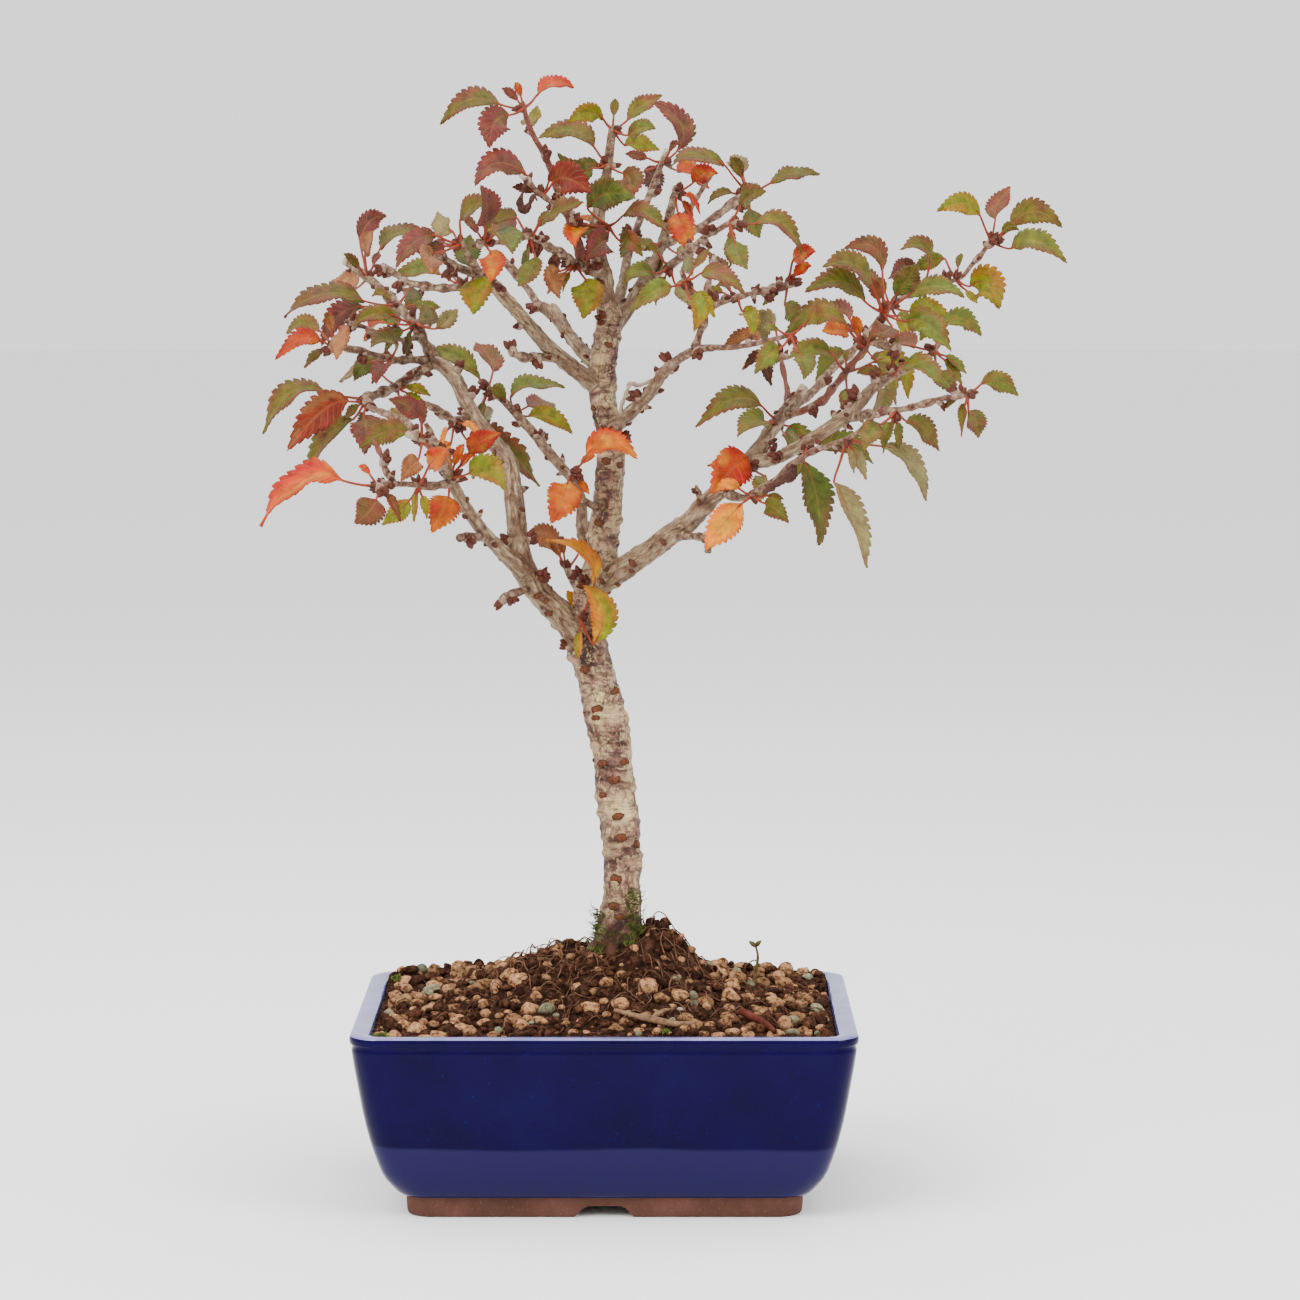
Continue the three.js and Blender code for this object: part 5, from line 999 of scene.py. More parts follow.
def age_of(radius, name):
    if name == "trunk" and radius > 0.0045:
        return 0.0
    return 0.35 + 0.65 * smooth_step(0.0034, 0.0014, radius)


def dress_wood(bm, wood, rough):
    """Furrows, rings and flakes on the bark, and its age and flow for the finish."""
    bm.normal_update()
    age_layer = bm.verts.layers.float.new("bark_age")
    red_layer = bm.verts.layers.float.new("shoot_red")
    foot_layer = bm.verts.layers.float.new("bark_foot")
    flow_layer = bm.verts.layers.float_vector.new("bark_flow")
    moved = []
    for vert in bm.verts:
        sample = wood.nearest(vert.co)
        _, radius, _, travelled, name, _ = sample
        flow = flow_of(vert.co, sample)
        age = age_of(radius, name)
        vert[age_layer] = age
        if name in RED_SHOOTS:
            vert[red_layer] = 0.8 * smooth_step(0.003, 0.012, travelled)
        else:
            vert[red_layer] = 0.25 * smooth_step(0.0018, 0.0009, radius)
        vert[flow_layer] = flow
        ragged = 0.006 * noise.noise(vert.co * 260)
        vert[foot_layer] = smooth_step(0.117, 0.105, vert.co.z + ragged)
        furrow = noise.noise(flow * 520) + 0.6 * noise.noise(flow * 1100)
        lump = noise.noise(vert.co * 95)
        ring = noise.noise(Vector((vert.co.x * 60, vert.co.y * 60, vert.co.z * 420)))
        flake = max(noise.noise(vert.co * 330) - 0.18, 0) * 1.6
        share = min(radius / 0.006, 1.3)
        if age < 0.1:
            push = ring * 0.0004 + lump * 0.0007 + flake * 0.0011
        else:
            wrinkle = noise.noise(Vector((flow.x * 150, flow.y * 150, flow.z / FURROW_DRAW * 380)))
            push = (furrow * 0.0002 + wrinkle * 0.0003 + lump * 0.0006 + flake * 0.001) * share
        moved.append((vert, vert.normal * push * rough))
    for vert, push in moved:
        vert.co += push


def build_limbs(wood, finish):
    """Trunk and stout limbs, grown together into one skin."""
    bm = bmesh.new()
    for name, rows in STEMS.items():
        if rows[0][3] < STOUT_STEM:
            continue
        path = stem_path(rows, 5)
        if name == "trunk":
            path = flared(path)
        sweep_tube(bm, path, 20 if rows[0][3] > THICK_STEM else 14)
    add_roots(bm)
    loose = object_of("limbs_loose", bm)
    remesh = loose.modifiers.new("grown", "REMESH")
    remesh.mode = "VOXEL"
    remesh.voxel_size = SKIN_FINENESS
    loose.modifiers.new("eased", "SMOOTH").iterations = 4
    bm = shape_after(loose)
    dress_wood(bm, wood, 1)
    finished_piece("trunk_and_limbs", bm, [finish], replaced=["trunk", "left_limb", "right_limb"])


def flared(path):
    """The trunk's path, wider where it meets the soil."""
    return [(place, radius + 0.0006 * smooth_step(0.118, 0.103, place.z)) for place, radius in path]


# Surface roots, as turns about the trunk in degrees, how far they run, and how thick they start.
ROOTS = [[200, 26, 3.4], [255, 18, 2.8], [318, 24, 3.0], [20, 22, 3.0], [85, 24, 3.2], [140, 20, 2.6]]


def add_roots(bm):
    """The flare of roots that slope from the trunk's foot into the soil."""
    for degrees, run, thick in ROOTS:
        way = level_way(math.radians(degrees))
        base = in_pot(TRUNK_X, 0, 0)
        steps = ((4, 108, 0.9), (7, 102, 1.05), (11, 97, 0.9), (run * 0.7, 90, 0.6), (run, 82, 0.35))
        points = [base + way * out * MM + Vector((0, 0, z * MM)) for out, z, _ in steps]
        path = smooth_path(points, [thick * share * MM for _, _, share in steps], 4)
        sweep_tube(bm, path, 10)


def build_twigs(wood, finish):
    """Thin twigs, knobbly where buds and old leaf stalks stood."""
    bm = bmesh.new()
    for index, rows in enumerate(STEMS.values()):
        if rows[0][3] >= STOUT_STEM:
            continue
        draw = random.Random(SEED * 31 + index)
        path = stem_path(rows, 7)
        knobs = [draw.uniform(0.02, 0.98) for _ in range(len(rows) + 2)]
        shaped = []
        for step, (place, radius) in enumerate(path):
            share = step / (len(path) - 1)
            swell = sum(math.exp(-((share - knob) * len(path) / 1.3) ** 2) for knob in knobs)
            sway = Vector([noise.noise(place * 160 + Vector((axis * 9, 0, 0))) for axis in range(3)])
            shaped.append((place + sway * radius * 0.35, radius * (0.86 + 0.36 * min(swell, 1.2))))
        sweep_tube(bm, shaped, 12)
    dress_wood(bm, wood, 0.7)
    finished_piece("thin_twigs", bm, [finish])


# Scars and buds, as seen from the front: x and z, then width and height, in millimetres.
SCARS = [[4, 161, 4.2, 2.8], [-0.8, 156, 3.4, 2.2], [5.7, 149, 3.8, 2.6], [7, 137.5, 4, 2.8],
         [13.2, 136.8, 3, 2.4], [4, 121, 4, 3.8], [3, 110, 4, 2.6], [5.5, 105, 3.6, 2.4],
         [-1.5, 174.5, 3.8, 2.4], [7.5, 174.7, 3.6, 2.4], [-2, 189, 4, 2.6], [-3, 187, 3, 2],
         [4.7, 199.5, 4, 2.8], [-6, 205.7, 3.6, 2.6], [-7, 217, 5, 3.5], [-26, 240, 3, 2.2],
         [-22, 233.5, 3, 2.4], [-3, 268, 3.4, 2.4], [0.5, 291, 3.4, 2.4], [6, 292, 2.6, 2],
         [11, 255, 2.8, 2], [23, 263, 2.8, 2], [37, 279, 2.4, 1.8], [-33.5, 277, 2.4, 1.8],
         [-4.5, 315, 2.8, 2], [0, 324, 3, 2.2], [-5, 323, 2.4, 1.8], [2, 346, 2.8, 2]]
# Drawn ones: at the trunk's back, and all round the limbs.
HIDDEN_SCARS = 34
LIMB_SCARS = 70

# Places of bud clusters, as x and z seen from the front.
BUD_PLACES = [[-14, 218], [-38, 240], [-45, 238], [-39, 264], [-56, 264.5], [-27, 264], [-11, 250],
              [-9, 240], [-25.5, 247.5], [7, 305], [25, 338], [38, 340], [36, 358], [42, 360],
              [29.5, 407], [54, 405], [53, 397], [43, 389], [38, 381], [55, 391.5], [64, 362],
              [67, 365], [74, 367], [-30, 384], [-27, 381], [-21, 376.5], [-3, 373], [0, 356],
              [12, 385], [6, 389], [-19, 400], [-23, 418], [-82, 366], [-92, 374], [-77, 354],
              [-84, 350], [-80, 342.5], [-113, 341], [-98, 336.5], [-54, 336], [-53, 322],
              [-62, 300], [-59, 310], [-97, 319.5], [-88, 295], [-91, 284], [-80, 329], [-60, 291],
              [-41, 294], [-28, 357], [-39, 342], [-28, 336], [-43, 366], [-63, 373], [70, 298],
              [83, 317], [87, 327], [99, 324], [107, 331], [118, 340], [110, 351], [154, 382.5],
              [157.5, 382.5], [135, 369.5], [13, 323], [-13, 295]]
DRAWN_BUDS = 150
# The size of the clusters that have a place in the table. Those that are drawn are smaller.
NAMED_BUD_SIZE = 1.3


def add_scar(bm, place, out, up, width, height):
    """A corky scar: a dark rim standing a little proud, with a lighter heart."""
    side = up.cross(out).normalized()
    for size, proud, material_index in ((1.35, 0.0006, 0), (1.06, 0.0009, 1)):
        scale = Matrix.Diagonal((width / 2 * MM * size, height / 2 * MM * size, proud, 1))
        with small_part(bm) as scar:
            spot = frame_of(place, side, out.cross(side), out) @ scale
            bmesh.ops.create_uvsphere(scar, u_segments=14, v_segments=8, radius=1, matrix=spot)
            for vert in scar.verts:
                vert.co += (vert.co - place) * 0.3 * noise.noise(vert.co * 900)
            use_material(scar, material_index)


def build_scars(wood, finishes):
    bm = bmesh.new()
    draw = random.Random(SEED + 1)
    for x, z, width, height in SCARS:
        place, radius, way, on_sight, sight = wood.behind(x, z)
        aside = square_to(square_to(on_sight - place, way), sight)
        across = min(aside.length / radius, 0.9)
        out = square_to(-sight, way).normalized() * math.sqrt(1 - across * across)
        out += aside.normalized() * across
        add_scar(bm, place + out * radius, out.normalized(), way, width, height)
    trunk = [sample for sample in wood.samples if sample[4] == "trunk" and 0.1 < sample[0].z < 0.33]
    for _ in range(HIDDEN_SCARS):
        place, radius, way, _, _, _ = draw.choice(trunk)
        turn = draw.uniform(math.radians(20), math.radians(160))
        out = square_to(level_way(turn), way).normalized()
        add_scar(bm, place + out * radius, out, way, draw.uniform(2.6, 4.2), draw.uniform(1.8, 2.8))
    limbs = [sample for sample in wood.samples if sample[4] != "trunk" and 0.002 < sample[1]]
    for _ in range(LIMB_SCARS):
        place, radius, way, _, _, across = draw.choice(limbs)
        out = across.copy()
        out.rotate(Matrix.Rotation(draw.uniform(0, math.tau), 3, way))
        add_scar(bm, place + out * radius, out, way, draw.uniform(1.6, 2.6), draw.uniform(1.2, 1.9))
    finished_piece("trunk_scars", bm, finishes)


def build_buds(wood, finishes):
    """Clusters of pointed buds on short knobs along the limbs and twigs."""
    bm = bmesh.new()
    draw = random.Random(SEED + 2)
    spots = []
    for x, z in BUD_PLACES:
        place, radius, way, on_sight, sight = wood.behind(x, z)
        out = square_to(on_sight - place - sight * 0.002, way).normalized()
        spots.append((place, radius, way, out, NAMED_BUD_SIZE))
    thin = [sample for sample in wood.samples if sample[1] < 0.004]
    for _ in range(DRAWN_BUDS):
        place, radius, way, _, _, _ = draw.choice(thin)
        out = square_to(drawn_vector(draw, 1), way).normalized()
        spots.append((place, radius, way, out, draw.choice((0.8, 0.95, 1.15))))
    for place, radius, way, out, size in spots:
        middle = place + out * radius * 0.9
        with small_part(bm) as knob:
            stretch = Matrix.Diagonal((0.0016 * size, 0.0016 * size, 0.0021 * size, 1))
            spot = facing(middle, out) @ stretch
            bmesh.ops.create_uvsphere(knob, u_segments=8, v_segments=6, radius=1, matrix=spot)
            use_material(knob, 1)
        for _ in range(draw.choice((4, 5, 6, 7) if size == NAMED_BUD_SIZE else (1, 2, 3))):
            heading = (out + way * draw.uniform(-0.2, 0.9) + drawn_vector(draw, 0.55)).normalized()
            add_bud(bm, middle + heading * 0.0008, heading, draw.uniform(2.9, 4.4) * size,
                    draw.uniform(0.85, 1.25) * size)
    finished_piece("bud_clusters", bm, finishes)


# Withered bits, as [x, z, thickness] along each, seen from the front, in millimetres. The first
# place of each lies on the wood.
WITHERED = {
    "curled_leaf": [[-31, 409, 0.5], [-33, 403, 0.5], [-34, 399, 1.3], [-32, 396, 1.5], [-30, 399, 1.0],
                    [-28.5, 402, 0.9], [-27, 400, 0.5]],
    "dark_spur": [[79, 290.5, 1.1], [75, 290, 1.9], [71, 288.5, 1.7], [67, 285.5, 1.3], [63.5, 283, 0.9]],
    "dead_twig": [[5, 312, 1.2], [6.5, 318, 1.1], [8.5, 323, 1.05], [10, 327, 1], [14, 326.5, 0.9],
                  [20, 329, 0.6]],
}
# Ends of twigs that were cut clean and show pale wood.
CUT_ENDS = [[-103, 376], [-32, 409], [24.5, 420], [41, 409], [59.5, 404.5], [44, 377], [79, 324.5],
            [-78, 306]]


def build_withered(wood, finishes):
    """Dead leaves and twigs that still hang on, and pale cut ends."""
    bm = bmesh.new()
    for name, rows in WITHERED.items():
        place = wood.behind(*rows[0][:2])[0]
        depth = (place.y - POT_CENTRE.y) / MM / CROWN_DEPTH - 2
        points = [place] + [seen(x, depth, z) for x, z, _ in rows[1:]]
        path = smooth_path(points, [row[2] * MM for row in rows], 4)
        crumpled = [(spot, radius * (1 + 0.7 * noise.noise(spot * 700))) for spot, radius in path]
        sweep_tube(bm, crumpled, 8, 1 if name.startswith("dead") else 0)
    for x, z in CUT_ENDS:
        place, radius, way, _, _ = wood.behind(x, z)
        sweep_tube(bm, [(place - way * 0.001, radius * 0.98), (place + way * 0.0032, radius * 0.96)], 10, 1)
    finished_piece("withered_bits", bm, finishes)


# Soil

SOIL_HALF_X = POT_WIDTH / 2 - RIM_WIDTH - 0.4
SOIL_HALF_Y = POT_DEPTH / 2 - RIM_WIDTH * 0.8 - 0.4
SOIL_CORNER = 6
SOIL_BOTTOM = 40
SOIL_TAPER = 0.96
SOIL_COLUMNS = 150
SOIL_ROWS = 112
# Heaps on the soil: height, middle x and y, and the squares of their reaches, in millimetres. The
# first is the mound about the trunk, and the last runs along the back wall.
HEAPS = [[20, 0, 0, 3600, 2500], [16, 22, -1, 250, 250], [5, -22, 4, 500, 500], [5, 0, 54, math.inf, 256]]


def soil_height(x, y):
    """Height of the soil over the pot's foot, in millimetres, at a place in the pot."""
    height = SOIL_EDGE + 3 * max(1 - (x / 92) ** 2, 0) * max(1 - (y / 68) ** 2, 0)
    for rise, middle_x, middle_y, reach_x, reach_y in HEAPS:
        height += rise * math.exp(-(x - middle_x) ** 2 / reach_x - (y - middle_y) ** 2 / reach_y)
    here = Vector((x, y, 0))
    edge = min(1, max(0, (92 - abs(x)) / 10), max(0, (67 - abs(y)) / 10))
    height += edge * 2.2 * noise.noise(here * 0.11)
    height += edge * 1.3 * noise.noise(here * 0.33 + Vector((7, 3, 0)))
    return height + 0.7 * noise.noise(here * 0.8)


def in_soil_outline(x, y):
    """Draws a place of a square from -1 to 1 into the soil's outline, with its rounded corners."""
    x *= SOIL_HALF_X
    y *= SOIL_HALF_Y
    over_x = abs(x) - (SOIL_HALF_X - SOIL_CORNER)
    over_y = abs(y) - (SOIL_HALF_Y - SOIL_CORNER)
    if over_x > 0 and over_y > 0:
        share = max(over_x, over_y) / math.hypot(over_x, over_y)
        x = math.copysign(SOIL_HALF_X - SOIL_CORNER + over_x * share, x)
        y = math.copysign(SOIL_HALF_Y - SOIL_CORNER + over_y * share, y)
    return x, y


def kept_inside(x, y, margin):
    """The nearest place that lies at least a margin inside the soil's edge."""
    return (min(max(x, margin - SOIL_HALF_X), SOIL_HALF_X - margin),
            min(max(y, margin - SOIL_HALF_Y), SOIL_HALF_Y - margin))


def on_soil(x, y, rise):
    return in_pot(x, y, soil_height(x, y) + rise)


def build_soil(finish):
    bm = bmesh.new()
    made = bmesh.ops.create_grid(bm, x_segments=SOIL_COLUMNS, y_segments=SOIL_ROWS, size=1)
    for vert in made["verts"]:
        vert.co = on_soil(*in_soil_outline(vert.co.x, vert.co.y), 0)
    rim = [edge for edge in bm.edges if edge.is_boundary]
    for vert in next_ring(bm, rim)[0]:
        vert.co = POT_CENTRE + (vert.co - POT_CENTRE) * SOIL_TAPER
        vert.co.z = SOIL_BOTTOM * MM
    low = [edge for edge in bm.edges if edge.is_boundary]
    bmesh.ops.holes_fill(bm, edges=low, sides=0)
    finished_piece("soil_bed", bm, [finish], replaced=["soil"])


def add_grain(bm, draw, x, y, size, flat, sink, tone):
    """One grain: a ball pushed into an angular lump, lying in the soil."""
    own = drawn_vector(draw, 90)
    shape = Vector((draw.uniform(0.75, 1.15), draw.uniform(0.75, 1.15), flat)) * size * MM / 2
    turn = Matrix.Rotation(draw.uniform(0, math.tau), 4, "Z")
    turn = turn @ Matrix.Rotation(draw.uniform(-0.5, 0.5), 4, "X")
    spot = Matrix.Translation(on_soil(x, y, size * (flat - sink) / 2)) @ turn
    with small_part(bm) as grain:
        tone_layer = grain.verts.layers.float_color.new("grain_tone")
        bmesh.ops.create_uvsphere(grain, u_segments=10, v_segments=7, radius=1)
        for vert in grain.verts:
            push = 1 + 0.45 * noise.noise(vert.co * 0.8 + own) + 0.14 * noise.noise(vert.co * 2 + own)
            vert.co = spot @ Vector(part * push * scale for part, scale in zip(vert.co, shape))
            vert[tone_layer] = (tone, tone * draw.uniform(0.93, 1.0), tone * draw.uniform(0.85, 1), 1)


def free_place(draw, taken, size):
    """A place in the pot, away from the trunk's foot and from grains that are there already."""
    for _ in range(30):
        x = draw.uniform(-SOIL_HALF_X + size * 0.55, SOIL_HALF_X - size * 0.55)
        y = draw.uniform(-SOIL_HALF_Y + size * 0.55, SOIL_HALF_Y - size * 0.55)
        if math.hypot(x - TRUNK_X, y) < 9 + size / 2:
            continue
        if all(math.hypot(x - a, y - b) > (size + c) * 0.42 for a, b, c in taken):
            taken.append((x, y, size))
            return x, y
    return None


# Kinds of grain: piece name, count, smallest and largest size in millimetres, flatness, depth sunk.
GRAINS = [["soil_pumice", 380, 2.6, 9.2, 0.72, 0.66], ["soil_zeolite", 46, 2.6, 7, 0.8, 0.6],
          ["soil_dark_grains", 900, 1.5, 6.4, 0.8, 0.5]]


def build_grains(finishes):
    taken = []
    for index, (finish, row) in enumerate(zip(finishes, GRAINS)):
        name, count, least, most, flat, sink = row
        draw = random.Random(SEED * 7 + index)
        bm = bmesh.new()
        for _ in range(count):
            size = least + (most - least) * draw.random() ** 1.7
            place = free_place(draw, taken, size)
            if place is None:
                continue
            # Coarse grains lie mostly low; the mound is mostly crumbs.
            high = soil_height(*place) - SOIL_EDGE
            if name != "soil_dark_grains" and draw.random() < smooth_step(7, 24, high) * 0.75:
                size *= 0.55
            add_grain(bm, draw, *place, size, flat * draw.uniform(0.8, 1.15), sink,
                      draw.uniform(0.5, 1.15))
        finished_piece(name, bm, [finish])


FIBRES = 520
FIBRE_POINTS = 6


def build_fibres(finish):
    """Rootlets and bits of fibre that lie over the soil and curl up from it."""
    bm = bmesh.new()
    draw = random.Random(SEED + 5)
    for _ in range(FIBRES):
        x = draw.gauss(3, 42)
        y = draw.gauss(0, 30)
        if abs(x) > SOIL_HALF_X - 4 or abs(y) > SOIL_HALF_Y - 4:
            continue
        heading = draw.uniform(0, math.tau)
        curl = draw.uniform(-0.5, 0.5)
        step = draw.uniform(1.2, 3)
        lift = draw.choice((0.1, 0.3, 0.6, 0.9, 1.3, 2.2))
        points = []
        for index in range(FIBRE_POINTS):
            heading += curl * draw.uniform(0.2, 1.6)
            x += math.cos(heading) * step
            y += math.sin(heading) * step
            x, y = kept_inside(x, y, 2)
            rise = lift * math.sin(index / (FIBRE_POINTS - 1) * math.pi) * 2 + 0.15
            points.append(on_soil(x, y, rise))
        thick = draw.uniform(0.12, 0.32) * MM
        path = smooth_path(points, [thick] * len(points), 2)
        sweep_tube(bm, path, 5)
    finished_piece("soil_fibres", bm, [finish])


# Sticks on the soil, as [x, y, height over the soil, thickness] along each, in millimetres in the pot.
FALLEN_TWIG = [[54, -44, 3.2, 1.5], [58, -49, 3.6, 1.5], [63, -56, 3.4, 1.3], [67, -63, 3.2, 1.0]]
LYING_ROOT = [[4, -50, 2, 0.8], [12, -55, 2.6, 1.2], [20, -58, 2.8, 1.5], [28, -60, 2.4, 1.3],
              [36, -58, 2, 0.7]]
ROOT_FORK = [[18, -57.5, 2.6, 1.0], [23, -53, 2.4, 0.8], [27, -49, 1.8, 0.5]]


def add_stick(bm, rows, material_index):
    points = [on_soil(x, y, rise) for x, y, rise, _ in rows]
    sweep_tube(bm, smooth_path(points, [row[3] * MM for row in rows], 5), 10, material_index)


def build_litter(finishes):
    """The fallen red twig, the pale root and the small green sprout on the soil."""
    bm = bmesh.new()
    add_stick(bm, FALLEN_TWIG, 0)
    add_stick(bm, LYING_ROOT, 1)
    add_stick(bm, ROOT_FORK, 1)
    sprout = [on_soil(60, 6, -1), in_pot(60.5, 5, 83), in_pot(62, 4, 93), in_pot(61, 4, 98)]
    sweep_tube(bm, smooth_path(sprout, [0.0009, 0.0008, 0.0006, 0.0004], 4), 8, 2)
    for tilt in (-0.9, 0.7):
        way = Vector((tilt, -0.3, 0.7)).normalized()
        add_bud(bm, sprout[-1], way, 4.2, 1, 2)
    finished_piece("soil_litter", bm, finishes)


# Moss cushions, as [x, y, size] in millimetres in the pot.
MOSS = [[-88, -62, 7], [-84, -64, 4], [24, -64, 4], [-3, -7, 6], [9, -9, 5], [-5, 4, 5], [14, -4, 5],
        [12, 8, 5], [-88, 44, 5], [-40, 54, 4]]
THREADS_PER_MM = 9
# Moss on the trunk's foot: turn and spread in degrees, lowest and highest level, and threads.
TRUNK_MOSS = [[195, 40, 97, 114, 150], [305, 32, 99, 122, 170], [255, 30, 97, 107, 70],
              [60, 60, 98, 112, 110]]


def add_trunk_moss(bm, draw):
    """Short curved green threads on the trunk's foot."""
    for middle_turn, spread, lowest, highest, count in TRUNK_MOSS:
        for _ in range(count):
            turn = math.radians(draw.gauss(middle_turn, spread * 0.5))
            level = lowest + (highest - lowest) * draw.random() ** 1.4
            out = level_way(turn)
            base = in_pot(TRUNK_X - 0.2, 0, level) + out * 0.0084
            rise = Vector((draw.uniform(-0.4, 0.4), draw.uniform(-0.4, 0.4), draw.uniform(-0.2, 1)))
            reach = draw.uniform(1.2, 4.6) * MM
            middle = base + (out + rise * 0.4).normalized() * reach * 0.55
            tip = middle + (out * 0.35 + rise).normalized() * reach * 0.6
            path = smooth_path([base, middle, tip], [0.0002, 0.00017, 0.00006], 2)
            sweep_tube(bm, path, 4)


def build_moss(finish):
    bm = bmesh.new()
    draw = random.Random(SEED + 9)
    for x, y, size in MOSS:
        for _ in range(int(size * THREADS_PER_MM)):
            reach = size / 2 * math.sqrt(draw.random())
            turn = draw.uniform(0, math.tau)
            place = kept_inside(x + math.cos(turn) * reach, y + math.sin(turn) * reach, 1)
            rise = (1 - (reach / size) ** 2) * size * 0.18
            way = Vector((draw.uniform(-0.5, 0.5), draw.uniform(-0.5, 0.5), 1)).normalized()
            add_bud(bm, on_soil(*place, rise), way, draw.uniform(0.9, 1.9), draw.uniform(0.25, 0.45))
    add_trunk_moss(bm, draw)
    finished_piece("moss_cushions", bm, [finish])


# Pot

# The pot's skin as [inset from the rim on the long sides, height, corner radius], in millimetres,
# from the middle of the underside up the outside, over the rim and down the inside.
POT_UNDER = [[52, 5, 3], [30.5, 5, 6], [30.2, 1.2, 6], [29.6, 0.2, 6], [28.6, 0, 6.5]]
POT_FOOT = [[22.9, 0, 9], [21.9, 0.4, 9.6], [21.5, 1.4, 10], [21.3, 4, 10], [21.1, 7.2, 10], [20.7, 8, 10.3]]
POT_WALL = [[18.8, 8.5, 11], [17, 10, 11.6], [15.2, 12.2, 12], [12.9, 15.4, 12], [11.2, 19, 12],
            [9.9, 23, 12], [8.6, 27, 12], [7.2, 32, 12], [5.8, 38, 12], [4.6, 44, 12], [3.6, 50, 12],
            [2.6, 56, 12], [1.6, 62, 12], [0.9, 67, 12], [0.75, 69, 12], [1.1, 70, 12]]
# The lowest rows of the rim still carry the deep glaze.
POT_LIP = [[1.0, 70.6, 12], [0.3, 71.2, 12], [0, 72, 12], [0, 73.4, 12], [0.3, 74.3, 11.8]]
POT_RIM = [[0.6, 74.7, 11.6], [1.4, 75, 11.2], [4, 75, 9], [6.6, 74.9, 7], [7.6, 74.3, 6.4], [8, 73, 6]]
POT_INSIDE = [[8.4, 68, 6], [10, 50, 6], [14.5, 26, 6], [22, 15, 6], [25, 13, 6]]
CORNER_STEPS = 10
SIDE_STEPS = 10
SHORT_SIDE_INSET = 0.8
# The notch in the foot: half its width at the ground and at its top, and its height.
NOTCH_FOOT_HALF = 12.5
NOTCH_TOP_HALF = 8
NOTCH_HEIGHT = 4.7
DRAIN_OFFSET = 38
DRAIN_RADIUS = 0.008
# Edges of the pot that turn by more degrees than this are sharp.
SHARP_TURN = 38


def ring_places():
    """Steps round a rounded rectangle: the corner's signs, the angle there, and the share of the
    straight side that lies behind."""
    places = []
    signs = ((1, 1), (-1, 1), (-1, -1), (1, -1))
    for quarter, (sign_x, sign_y) in enumerate(signs):
        for step in range(CORNER_STEPS + 1):
            places.append(((sign_x, sign_y), (quarter + step / CORNER_STEPS) * math.pi / 2, 0))
        for step in range(1, SIDE_STEPS):
            places.append(((sign_x, sign_y), (quarter + 1) * math.pi / 2, step / SIDE_STEPS))
    return places


def ring_point(place, inset, z, radius):
    (sign_x, sign_y), angle, share = place
    half_x = POT_WIDTH / 2 - inset
    half_y = POT_DEPTH / 2 - inset * SHORT_SIDE_INSET
    x = sign_x * (half_x - radius) + math.cos(angle) * radius
    y = sign_y * (half_y - radius) + math.sin(angle) * radius
    if share:
        if sign_x * sign_y > 0:
            x = x * (1 - 2 * share)
        else:
            y = y * (1 - 2 * share)
    return in_pot(x, y, z)


def build_pot(glaze, rim_reflection, clay):
    """Pulls a rounded ring over the pot's skin, then cuts the notches and drain holes of the foot."""
    bm = bmesh.new()
    places = ring_places()
    ring_layer = bm.verts.layers.int.new("ring_place")
    ring = bmesh.ops.create_circle(bm, segments=len(places), radius=1)["verts"]
    ring = sorted(ring, key=lambda vert: math.atan2(vert.co.y, vert.co.x) % math.tau)
    for index, vert in enumerate(ring):
        vert[ring_layer] = index
    # The rim and the inside get the pale violet of the painted rim reflection.
    parts = [(POT_UNDER, 2), (POT_FOOT, 2), (POT_WALL, 0), (POT_LIP, 0), (POT_RIM, 1), (POT_INSIDE, 1)]
    rows = [(row, part) for table, part in parts for row in table]
    first = edges = list(bm.edges)
    for vert in ring:
        vert.co = ring_point(places[vert[ring_layer]], *rows[0][0])
    for row, part in rows[1:]:
        ring, faces, edges = next_ring(bm, edges)
        for vert in ring:
            vert.co = ring_point(places[vert[ring_layer]], *row)
        for face in faces:
            face.material_index = part
    for last, part in ((edges, 1), (first, 2)):
        for face in bmesh.ops.holes_fill(bm, edges=last, sides=0)["faces"]:
            face.material_index = part
    bmesh.ops.recalc_face_normals(bm, faces=list(bm.faces))
    finishes = [glaze, rim_reflection, clay]
    blank = object_of("pot_blank", bm, finishes)
    cutters = [foot_notch(clay), drain_hole(-DRAIN_OFFSET, clay), drain_hole(DRAIN_OFFSET, clay)]
    for cutter in cutters:
        cut = blank.modifiers.new("cut", "BOOLEAN")
        cut.operation = "DIFFERENCE"
        cut.solver = "EXACT"
        cut.object = cutter
    bm = shape_after(blank, *cutters)
    piece = finished_piece("glazed_pot", bm, finishes, replaced=["pot"])
    for edge in piece.data.edges:
        edge.use_edge_sharp = False
    piece.data.set_sharp_from_angle(angle=math.radians(SHARP_TURN))


def foot_notch(clay):
    """A low block that narrows upwards, through both long sides of the foot."""
    bm = bmesh.new()
    for vert in bmesh.ops.create_cube(bm, size=1)["verts"]:
        half, z = (NOTCH_TOP_HALF, NOTCH_HEIGHT) if vert.co.z > 0 else (NOTCH_FOOT_HALF, -1)
        vert.co = in_pot(math.copysign(half, vert.co.x), math.copysign(80, vert.co.y), z)
    long_edges = [edge for edge in bm.edges if abs((edge.verts[0].co - edge.verts[1].co).y) > 0.1
                  and edge.verts[0].co.z > 0]
    bmesh.ops.bevel(bm, geom=long_edges, offset=0.0026, segments=5, affect="EDGES", profile=0.5,
                    material=-1)
    return object_of("foot_notch", bm, [clay])


